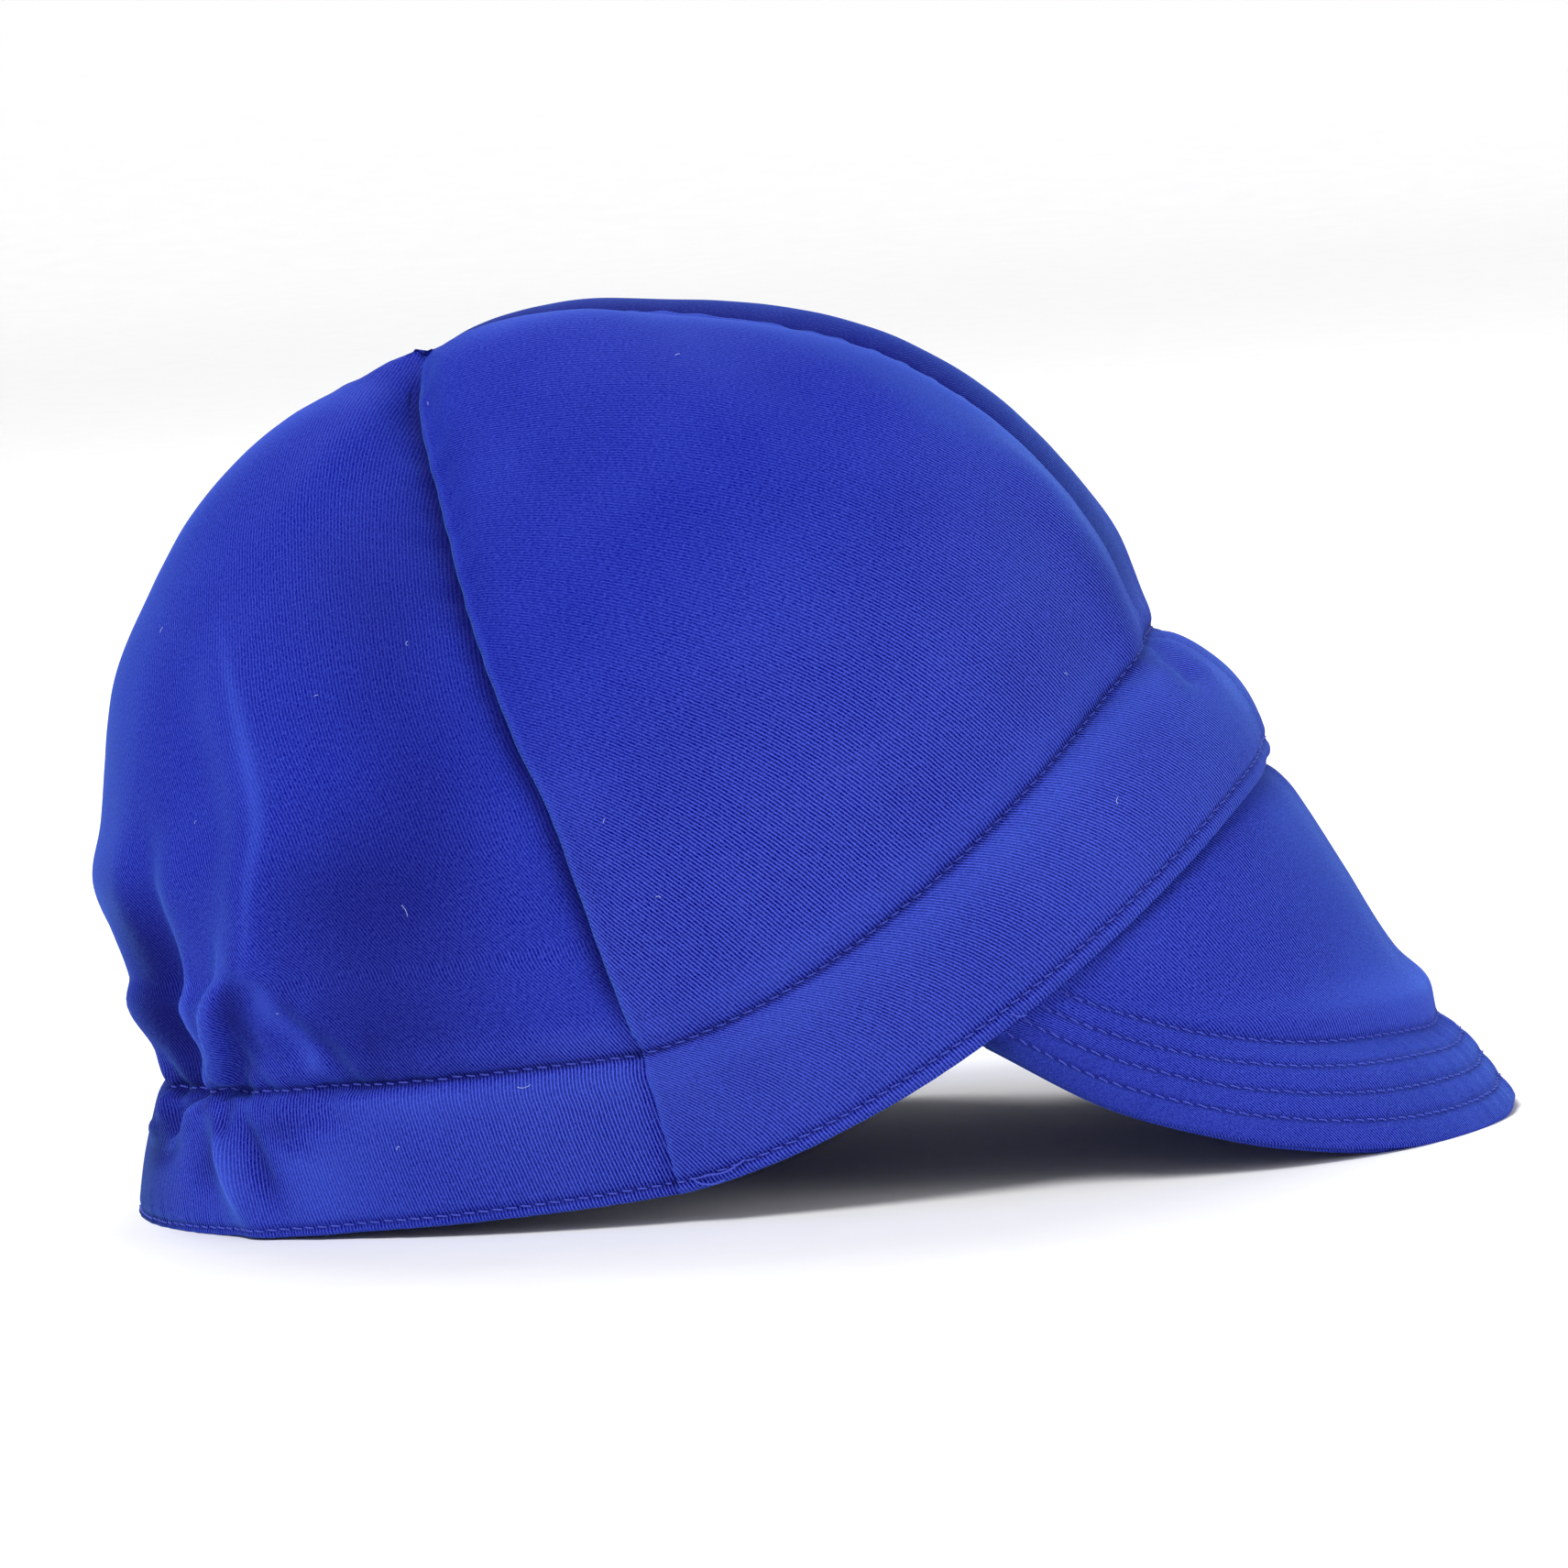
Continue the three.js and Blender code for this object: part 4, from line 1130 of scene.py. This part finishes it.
def hem_tone(around, down, ways):
    """Painted shade in the hem's rows of stitches and beside its back seam, and painted highlights
    beside the stitch line and over the hem.
    """
    grooves = bell(ways["stitches"], ROW_TONE_WIDTH) + bell(ways["row"], ROW_TONE_WIDTH)
    at_back = smooth_step(*BACK_TONE_AROUND, np.abs(wrap(around)))
    return (ROW_TONE * grooves + FULL_TONE * bell(ways["stitches"] - FULL_PLACE, FULL_WIDTH)
            + HEM_TONE * smooth_step(*HEM_TONE_FROM, down)
            + BACK_TONE * at_back * smooth_step(*BACK_TONE_DOWN, down))


def panel_tone(around, down, points, ways, ends, in_front, length_around):
    """Where a highlight is painted on a panel's cloth, up to 1, or shade, down to -1, over its faint
    mottle.
    """
    creases = fold_at(CREASES, around, down, length_around)
    folds = (fold_at(RIGHT_FOLDS, around, down, length_around)
             + fold_at(LEFT_FOLDS, around, down, length_around))
    shades = fold_at(SHADES, around, down, length_around)
    tone = (MOTTLE_TONE * unevenness(points, MOTTLE_WAVE, MOTTLE_SEED)
            + (CREASE_TONE * creases + FOLD_TONE * folds + shades) / FOLD_RISE
            + seams_tone(down, ends, in_front) + hem_tone(around, down, ways))
    return np.clip(tone, -1, 1)


def panel_grain(around, down, in_front):
    """How clearly a panel's wales show."""
    if in_front:
        return FRONT_GRAIN + FRONT_GRAIN_ADDED * smooth_step(*FRONT_GRAIN_DOWN, down)
    at_side = bell(np.abs(wrap(around)) - 1, SIDE_GRAIN_SPREAD)
    on_hem = smooth_step(*HEM_GRAIN_DOWN, down)
    return (BACK_GRAIN + BACK_GRAIN_ADDED * smooth_step(*BACK_GRAIN_DOWN, down)
            + (HEM_GRAIN_ADDED + SIDE_GRAIN_ADDED * at_side) * on_hem)


def cloth_coordinates(points):
    """Coordinates on the flat cloth: along the rows from the middle, and down the middle."""
    middle = points.shape[1] // 2
    across = run_along(points, 1)
    across = across - across[:, middle:middle + 1]
    down = run_along(points, 0)[:, middle:middle + 1] + np.zeros_like(across)
    return np.stack([across, down], axis=-1)


def crown_panel(name, node, start, end, columns, material):
    """One panel with its share of the hem: outer face, rounded edges and inner face."""
    middle = (start + end) / 2
    in_front, on_right = abs(middle) < 1, middle < 0
    start_over = laps_over(start, in_front, on_right)
    end_over = laps_over(end, in_front, on_right)
    first = start if start_over else start - SEAM_LAP
    last = end if end_over else end + SEAM_LAP
    rounds = closer(first, last, columns, (start, *CLOSER_AT_SEAM), (end, *CLOSER_AT_SEAM))
    crown = closer(0, 1, CROWN_ROWS, *CLOSER_ON_CROWN)
    hem = closer(1, 2, HEM_ROWS, *CLOSER_ON_HEM)
    around, down = np.meshgrid(rounds, np.concatenate([crown, hem[1:]]))
    shift = np.array([1 if in_front else -1, np.sign(middle), 0]) * SEAM_GAP / 2
    points = outer_point(around, down) + shift
    across = run_along(points, 1)
    ends = [(start, across - run_at(across, rounds, start), start_over),
            (end, run_at(across, rounds, end) - across, end_over)]
    length_around = length_of(slopes_of(plain_point, around, down)[0])
    coordinates = cloth_coordinates(points)
    at_top = 1 - smooth_step(0.0, TOP_REACH, down)
    ways = ways_on_panel(around, down, points)
    rise = relief(around, down, points, ways, ends, length_around)
    tone = panel_tone(around, down, points, ways, ends, in_front, length_around)
    grain = panel_grain(around, down, in_front)
    outer = points + grid_normals(points, at_top) * rise[..., None]
    normals = grid_normals(outer, at_top)
    wall = wall_at(around, down)
    roll = edge_roll(ways["edge"], HEM_ROLL, wall / 2)
    for distance in (across, across[:, -1:] - across):
        roll = np.maximum(roll, edge_roll(distance, SEAM_ROLL, wall / 2))
    roll = roll * smooth_step(0, TOP_REACH, down)
    inner = outer - normals * (wall - roll)[..., None]
    outer = outer - normals * roll[..., None]
    inner[:, 0], inner[:, -1] = outer[:, 0], outer[:, -1]
    inner[-1] = outer[-1]
    outer[0] = inner[0] = outer[0, outer.shape[1] // 2]
    both = np.concatenate([coordinates, coordinates[-2::-1]])
    piece = grid_object(name, shell(outer, inner), both, material,
                        tone=np.concatenate([tone, tone[-2::-1]]),
                        grain=np.concatenate([grain, grain[-2::-1]]))
    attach(piece, "root")
    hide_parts(node)
    own = (rounds >= start) & (rounds <= end)
    return {"around": around[:, own], "outer": outer[:, own], "inner": inner[:, own],
            "normals": normals[:, own], "from_edge": ways["edge"][:, own], "down": down[:, own]}


def run_at(across, rounds, place):
    """The length along each row of a grid at one place round the cap."""
    return np.array([[np.interp(place, rounds, row)] for row in across])


def close_borders(outer, inner):
    """Brings the inner face of a layer to its outer face along all four borders."""
    for border in (np.s_[0], np.s_[-1], np.s_[:, 0], np.s_[:, -1]):
        inner[border] = outer[border]


def seam_allowances(panels, material):
    """The cloth pressed to both sides of each crown seam, inside the cap."""
    strips = []
    for first, second in zip(panels, panels[1:] + panels[:1]):
        left, right = allowance_side(first, -1), allowance_side(second, 0)
        face = np.concatenate([left[:, ::-1], right[:, 1:]], axis=1)
        normals = grid_normals(face)
        across = run_along(face, 1)
        roll = np.maximum(edge_roll(across, ALLOWANCE_ROLL, ALLOWANCE_CLOTH / 2),
                          edge_roll(across[:, -1:] - across, ALLOWANCE_ROLL, ALLOWANCE_CLOTH / 2))
        outer = face - normals * roll[..., None]
        inner = face - normals * (ALLOWANCE_CLOTH - roll)[..., None]
        close_borders(outer, inner)
        coordinates = cloth_coordinates(face)
        both = np.concatenate([coordinates, coordinates[-2::-1]])
        strips.append(grid_object("allowance", shell(outer, inner), both, material))
    piece = join("seam_allowances", strips)
    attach(piece, "root")


def allowance_side(panel, end):
    """Half of an allowance: from a seam to its cut edge, just inside a panel's inner face."""
    down = panel["down"][:, 0]
    rows = np.flatnonzero((down > ALLOWANCE_TOP) & (down < ALLOWANCE_END))
    face, normals = panel["inner"][rows], panel["normals"][rows]
    if end == -1:
        face, normals = face[:, ::-1], normals[:, ::-1]
    run = run_along(face, 1)
    reach = np.linspace(0, 1, ALLOWANCE_COLUMNS + 1)
    side = []
    for row in range(len(rows)):
        wanted = reach * min(ALLOWANCE, run[row, -1] * ALLOWANCE_MOST)
        line = [np.interp(wanted, run[row], face[row, :, k]) for k in range(3)]
        ways = [np.interp(wanted, run[row], normals[row, :, k]) for k in range(3)]
        lift = ALLOWANCE_LIFT + (CLOTH / 2) * (1 - np.minimum(wanted / SEAM_ROLL, 1)) ** 2
        side.append(np.stack(line, axis=-1) - unit(np.stack(ways, axis=-1)) * lift[:, None])
    return np.array(side)


# Rows of stitches

def at_distance(layer, face, wanted):
    """A line over one face of a layer, at each column a wanted way in from the edge."""
    line, ways = [], []
    for column, distance in enumerate(wanted):
        from_edge = layer["from_edge"][::-1, column]
        if from_edge.max() < distance + ROW_EASE:
            continue
        points, normals = layer[face][::-1, column], layer["normals"][::-1, column]
        line.append([np.interp(distance, from_edge, points[:, axis]) for axis in range(3)])
        ways.append([np.interp(distance, from_edge, normals[:, axis]) for axis in range(3)])
    return np.array(line), np.array(ways)


def stitch_line(panel, face):
    """The line of the hem's upper row over one face of a panel."""
    row = np.argmin(np.abs(panel["down"][:, 0] - 1))
    return panel[face][row], panel["normals"][row]


def lower_row(panel, face):
    """The line of the hem's lower row over one face of a panel."""
    around = np.abs(wrap(panel["around"][0]))
    return at_distance(panel, face, read(EDGE_STITCHES, "inset", around, "around"))


def thread_points(line, normals, slant, closed, seed):
    """Rings of a thread that shows between the needle holes and dives into the cloth at each."""
    run = run_along(line[:, None], 0)[:, 0]
    keep = np.insert(np.diff(run) > 1e-7, 0, True)
    run, line, normals = run[keep], line[keep], normals[keep]
    stitches = max(int(round(run[-1] / STITCH_LENGTH)), 1)
    places = np.linspace(0, run[-1], stitches * STEPS_PER_STITCH + 1)
    centre = np.stack([np.interp(places, run, line[:, k]) for k in range(3)], axis=-1)
    up = unit(np.stack([np.interp(places, run, normals[:, k]) for k in range(3)], axis=-1))
    ahead = unit(np.gradient(centre, axis=0))
    aside = unit(np.cross(ahead, up))
    phase = np.arange(len(places)) % STEPS_PER_STITCH / STEPS_PER_STITCH
    height = STITCH_ARCH * np.sin(math.pi * phase) - STITCH_SUNK
    draw = np.random.default_rng(seed)
    each = draw.normal(size=stitches + 1)[np.arange(len(places)) // STEPS_PER_STITCH]
    side = slant * (phase - 0.5) + STITCH_SPREAD * each
    centre = centre + up * (height * THREAD / 2)[:, None] + aside * side[:, None]
    if closed:
        centre[-1], up[-1], aside[-1] = centre[0], up[0], aside[0]
    return tube(centre, aside, up, THREAD / 2, THREAD_SIDES)


def tube(centre, aside, up, radius, sides):
    """Rings round a line, and their coordinates along it and round it."""
    turn = np.linspace(0, 2 * math.pi, sides + 1)
    turn[-1] = 0
    ring = radius * (np.cos(turn)[None, :, None] * aside[:, None]
                     + np.sin(turn)[None, :, None] * up[:, None])
    points = centre[:, None] + ring
    points[..., 2] = np.maximum(points[..., 2], FLOOR)
    places = run_along(centre[:, None], 0)[:, 0]
    coordinates = np.stack(np.meshgrid(np.linspace(0, 1, sides + 1), places), axis=-1)
    return points, coordinates[..., ::-1]


def join(name, pieces):
    """Joins finished objects into one."""
    whole = bmesh.new()
    for piece in pieces:
        whole.from_mesh(piece.data)
    first = pieces[0]
    whole.to_mesh(first.data)
    whole.free()
    first.name = name
    for piece in pieces[1:]:
        bpy.data.objects.remove(piece)
    return first


def sew(name, rows, material):
    """Rows of stitches as one piece."""
    threads = []
    for count, (line, normals, slant, closed) in enumerate(rows):
        points, coordinates = thread_points(line, normals, slant, closed, STITCH_SEED + count)
        threads.append(grid_object(f"{name}_{count}", points, coordinates, material))
    piece = join(name, threads)
    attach(piece, "root")
    return piece


def hem_stitches(panels, material):
    """The two rows of stitches round the hem, outside and inside."""
    rows = []
    for face, way, slant in (("outer", 1, OUTER_SLANT), ("inner", -1, INNER_SLANT)):
        for sewn in (stitch_line, lower_row):
            lines = [sewn(panel, face) for panel in panels]
            line = np.concatenate([each[0] for each in lines])
            normals = way * np.concatenate([each[1] for each in lines])
            rows.append((line, normals, slant, True))
    return sew("hem_stitches", rows, material)


# Loose threads and lint

def on_cloth(panels, around, down):
    """The point of the cloth's outer face at a place on the cap, and its outward normal."""
    panel = next(each for each in panels
                 if each["around"][0, 0] <= around <= each["around"][0, -1])
    column = np.interp(around, panel["around"][0], np.arange(panel["around"].shape[1]))
    row = np.argmin(np.abs(panel["down"][:, 0] - down))
    first = int(column)
    second = min(first + 1, panel["around"].shape[1] - 1)
    share = column - first
    outer, normals = panel["outer"][row], panel["normals"][row]
    return (outer[first] + (outer[second] - outer[first]) * share,
            unit(normals[first] + (normals[second] - normals[first]) * share))


def curve_through(points, steps):
    """Places on a smooth curve through some points, one step from each to the next."""
    rows = {"at": np.arange(len(points)).astype(float), **dict(zip("xyz", points.T))}
    return np.stack([read(rows, axis, steps, "at") for axis in "xyz"], axis=-1)


def loose_threads(panels, material):
    """The back-tack at the side seam and the cut ends of thread."""
    pieces = []
    for number in np.unique(LOOSE_THREADS["thread"]):
        own = LOOSE_THREADS["thread"] == number
        places = [on_cloth(panels, around, down)
                  for around, down in zip(LOOSE_THREADS["around"][own], LOOSE_THREADS["down"][own])]
        normals = np.array([normal for point, normal in places])
        line = np.array([point for point, normal in places])
        line = line + normals * LOOSE_THREADS["lift"][own][:, None]
        steps = np.linspace(0, len(line) - 1, LOOSE_STEPS * (len(line) - 1) + 1)
        centre = curve_through(line, steps)
        up = unit(curve_through(normals, steps))
        aside = unit(np.cross(unit(np.gradient(centre, axis=0)), up))
        points, coordinates = tube(centre, aside, up, THREAD / 2, THREAD_SIDES)
        pieces.append(grid_object("thread_end", points, coordinates, material))
    piece = join("loose_threads", pieces)
    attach(piece, "root")


def lint(panels, material):
    """Short fibres that cling to the cloth."""
    fibres = []
    for around, down, length, turn, curl in zip(*LINT.values()):
        point, normal = on_cloth(panels, around, down)
        level = unit(np.cross(normal, np.array([0, 0, 1.0])))
        upright = np.cross(normal, level)
        share = np.linspace(0, 1, LINT_STEPS + 1)
        angle = np.radians(turn) + curl * (share - 0.5)
        way = np.cos(angle)[:, None] * level + np.sin(angle)[:, None] * upright
        centre = point + np.cumsum(way, axis=0) * length / LINT_STEPS + normal * LINT_LIFT
        up = normal + np.zeros_like(centre)
        points, coordinates = tube(centre, unit(np.cross(way, up)), up, LINT_THICK / 2, LINT_SIDES)
        fibres.append(grid_object("fibre", points, coordinates, material))
    piece = join("lint", fibres)
    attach(piece, "root")


# The peak

def peak_rows(flange):
    """How far in from the peak's edge each row of stitches runs."""
    return [flange * (1 - row / PEAK_STITCH_ROWS) for row in range(PEAK_STITCH_ROWS)]


def peak_cloth(ribs, plain, across, from_edge):
    """Fine rise and fall of the peak's cloth, and its tone: faint mottle, a painted highlight at the tip
    and painted shade in the rows of stitches.
    """
    flange = ribs["flange"]
    on_flange = 1 - smooth_step(-PEAK_EASE, FLANGE_EASE, from_edge - flange)
    free = smooth_step(0, PEAK_EASE, from_edge)
    pucker = wobble(plain[..., 1], PEAK_PUCKER_WAVE, PEAK_PUCKER_SEED)
    quilt = np.sin(math.pi * PEAK_STITCH_ROWS * from_edge / flange) ** 2
    drawn = PEAK_PUCKER * pucker * bell(across, PEAK_PUCKER_SPREAD) + PEAK_QUILT * quilt
    rise = drawn * on_flange * free + PEAK_UNEVEN * unevenness(plain, PEAK_WAVE, PEAK_SEED)
    tone = MOTTLE_TONE * unevenness(plain, MOTTLE_WAVE, PEAK_MOTTLE_SEED)
    at_tip = bell(from_edge - flange - TIP_PLACE, TIP_WIDTH) * bell(across, TIP_SPREAD)
    tone = tone + TIP_TONE * at_tip
    for inset in peak_rows(flange):
        reach = smooth_step(0, ROW_EASE, ribs["length"] - inset)
        rise = rise - PEAK_DIP * bell(from_edge - inset, STITCH_DIP_WIDTH) * reach
        tone = tone + PEAK_ROW_TONE * bell(from_edge - inset, ROW_TONE_WIDTH) * reach
    return rise, np.clip(tone, -1, 1)


def peak_layer(name, node, depth, material):
    """One layer of the peak, drawn in under its stitched rows and rounded at its edges."""
    places = closer(-1, 1, PEAK_COLUMNS, *CLOSER_ACROSS_PEAK)
    outs = closer(0, 1, PEAK_ROWS, *CLOSER_OUT_PEAK)
    across, out = np.meshgrid(places, outs)
    ribs = peak_ribs(places)
    share = np.minimum(ribs["tucked"], MOST_TUCKED)
    out = np.where(out < TUCK_ROWS, out / TUCK_ROWS * share,
                   share + (out - TUCK_ROWS) / (1 - TUCK_ROWS) * (1 - share))
    normal = peak_normal(places, ribs, out)
    plain = plain_peak(ribs, out)
    from_edge = length_of(plain - ribs["edge"])
    flange = ribs["flange"]
    rise, tone = peak_cloth(ribs, plain, across, from_edge)
    points = plain + normal * (peak_relief(ribs, from_edge) - depth + rise)[..., None]
    across_run = run_along(plain, 1)
    middle = across_run.shape[1] // 2
    coordinates = np.stack([across_run - across_run[:, middle:middle + 1], run_along(points, 0)],
                           axis=-1)
    normals = grid_normals(points)
    runs = run_along(points, 1)
    roll = edge_roll(run_along(points[::-1], 0)[::-1], PEAK_ROLL, PEAK_CLOTH / 2)
    for distance in (run_along(points, 0), runs, runs[:, -1:] - runs):
        roll = np.maximum(roll, edge_roll(distance, PEAK_SIDE_ROLL, PEAK_CLOTH / 2))
    outer = points - normals * roll[..., None]
    inner = points - normals * (PEAK_CLOTH - roll)[..., None]
    close_borders(outer, inner)
    both = np.concatenate([coordinates, coordinates[-2::-1]])
    tones = np.concatenate([tone, tone[-2::-1]])
    piece = grid_object(name, shell(outer, inner), both, material,
                        tone=tones, grain=np.full_like(tones, PEAK_GRAIN))
    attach(piece, "root")
    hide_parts(node)
    return {"outer": outer, "inner": inner, "normals": normals, "from_edge": from_edge,
            "flange": flange}


def peak_stitches(top, under, material):
    """Four rows of stitches that follow the edge of the peak, above and below."""
    rows = []
    for layer, face, way in ((top, "outer", 1), (under, "inner", -1)):
        for wanted in peak_rows(layer["flange"]):
            line, normals = at_distance(layer, face, wanted)
            rows.append((line, way * normals, PEAK_SLANT, False))
    return sew("peak_stitches", rows, material)


# Floor, light and camera

FLOOR_RADIUS = 3.0
COVE = 1.6
COVE_STEPS = 16
FLOOR_CORNERS = 96
WORLD_LIGHT = 0.38
SUN_PLACE = (-0.45, -0.45, 0.90)
SUN_WIDTH = math.radians(28)
SUN_POWER = 2.1
MIDDLE = (0, 0, 0.06)
SOFT_LIGHTS = (
    # name, place, width and power
    ("right", (1.5, -0.7, 0.5), 0.9, 7),
    ("low_front", (0.3, -1.6, 0.15), 0.9, 1.5),
    ("behind", (-0.3, 1.0, 1.3), 1.0, 14),
)


def plain_floor():
    """A pale floor that curves up all round, far behind any view."""
    shape = bmesh.new()
    bmesh.ops.create_circle(shape, cap_ends=True, segments=FLOOR_CORNERS, radius=FLOOR_RADIUS)
    rim = [edge for edge in shape.edges if edge.is_boundary]
    for step in range(1, COVE_STEPS + 1):
        turn = math.pi / 2 * step / COVE_STEPS
        raised = bmesh.ops.extrude_edge_only(shape, edges=rim)["geom"]
        rim = [part for part in raised if isinstance(part, bmesh.types.BMEdge)]
        for corner in {vert for edge in rim for vert in edge.verts}:
            away = Vector((corner.co.x, corner.co.y, 0)).normalized()
            corner.co = away * (FLOOR_RADIUS + COVE * math.sin(turn))
            corner.co.z = COVE * (1 - math.cos(turn))
    for face in shape.faces:
        face.smooth = len(face.verts) == 4
    mesh = bpy.data.meshes.new("floor")
    bmesh.ops.recalc_face_normals(shape, faces=shape.faces)
    shape.to_mesh(mesh)
    shape.free()
    floor = bpy.data.objects.new("floor", mesh)
    bpy.context.scene.collection.objects.link(floor)
    mesh.materials.append(floor_paint())


def soft_light(name, place, target, size, power):
    lamp = bpy.data.lights.new(name, "AREA")
    lamp.shape = "DISK"
    lamp.size = size
    lamp.energy = power
    light = bpy.data.objects.new(name, lamp)
    light.location = place
    light.rotation_euler = (Vector(target) - Vector(place)).to_track_quat("-Z", "Y").to_euler()
    bpy.context.scene.collection.objects.link(light)


def soft_sun(name, place, width, power):
    """A light as wide as a window that lights the floor evenly all the way back."""
    lamp = bpy.data.lights.new(name, "SUN")
    lamp.angle = width
    lamp.energy = power
    light = bpy.data.objects.new(name, lamp)
    light.rotation_euler = (-Vector(place)).to_track_quat("-Z", "Y").to_euler()
    bpy.context.scene.collection.objects.link(light)


def studio():
    world = bpy.data.worlds.new("studio")
    world.use_nodes = True
    sky = world.node_tree.nodes["Background"]
    sky.inputs["Color"].default_value = (1, 1, 1, 1)
    sky.inputs["Strength"].default_value = WORLD_LIGHT
    bpy.context.scene.world = world
    soft_sun("main_light", SUN_PLACE, SUN_WIDTH, SUN_POWER)
    for name, place, width, power in SOFT_LIGHTS:
        soft_light(name, place, MIDDLE, width, power)
    bpy.context.scene.view_settings.view_transform = "Standard"


# The photograph's view of the cap
VIEW_AZIMUTH = 4.0
VIEW_ELEVATION = 6.0
VIEW_ROLL = 4.5  # the photograph shows the cap rolled forward by this angle about Y
VIEW_DISTANCE = 1.9
VIEW_TARGET = (-0.0017, 0, 0.0653)
PHOTO_PIXELS = 1711
PIXEL = 0.00016  # size of one of the photograph's pixels at the cap
PHOTO_WIDTH = PHOTO_PIXELS * PIXEL
SENSOR = 36.0


def camera():
    azimuth, elevation = math.radians(VIEW_AZIMUTH), math.radians(VIEW_ELEVATION)
    right = Vector((math.cos(azimuth), math.sin(azimuth), 0))
    ahead = Vector((-math.sin(azimuth) * math.cos(elevation),
                    math.cos(azimuth) * math.cos(elevation), -math.sin(elevation)))
    up = right.cross(ahead)
    axes = Matrix((right, up, -ahead)).transposed()
    turned = Matrix.Rotation(math.radians(VIEW_ROLL), 3, "Y") @ axes
    lens = bpy.data.cameras.new("camera")
    lens.sensor_width = SENSOR
    lens.lens = SENSOR * VIEW_DISTANCE / PHOTO_WIDTH
    lens.clip_end = 50
    view = bpy.data.objects.new("camera", lens)
    back = turned @ Vector((0, 0, VIEW_DISTANCE))
    view.matrix_world = Matrix.Translation(Vector(VIEW_TARGET) + back) @ turned.to_4x4()
    bpy.context.scene.collection.objects.link(view)
    bpy.context.scene.camera = view


camera()
studio()
plain_floor()
front_twill = twill("front_twill", FRONT_TURN)
back_twill = twill("back_twill", BACK_TURN)
peak_twill = twill("peak_cloth", PEAK_TURN)
thread = sewing_thread()
PANELS = [
    crown_panel("back_right_crown", "back_panel_right", -2, -1, BACK_COLUMNS, back_twill),
    crown_panel("front_right_crown", "front_panel_right", -1, 0, FRONT_COLUMNS, front_twill),
    crown_panel("front_left_crown", "front_panel_left", 0, 1, FRONT_COLUMNS, front_twill),
    crown_panel("back_left_crown", "back_panel_left", 1, 2, BACK_COLUMNS, back_twill),
]
seam_allowances(PANELS, back_twill)
hem_stitches(PANELS, thread)
loose_threads(PANELS, thread)
lint(PANELS, pale_fibre())
top_layer = peak_layer("peak_upper", "peak_top", 0, peak_twill)
under_layer = peak_layer("peak_lower", "peak_under", PEAK_CLOTH + GAP, peak_twill)
peak_stitches(top_layer, under_layer, thread)
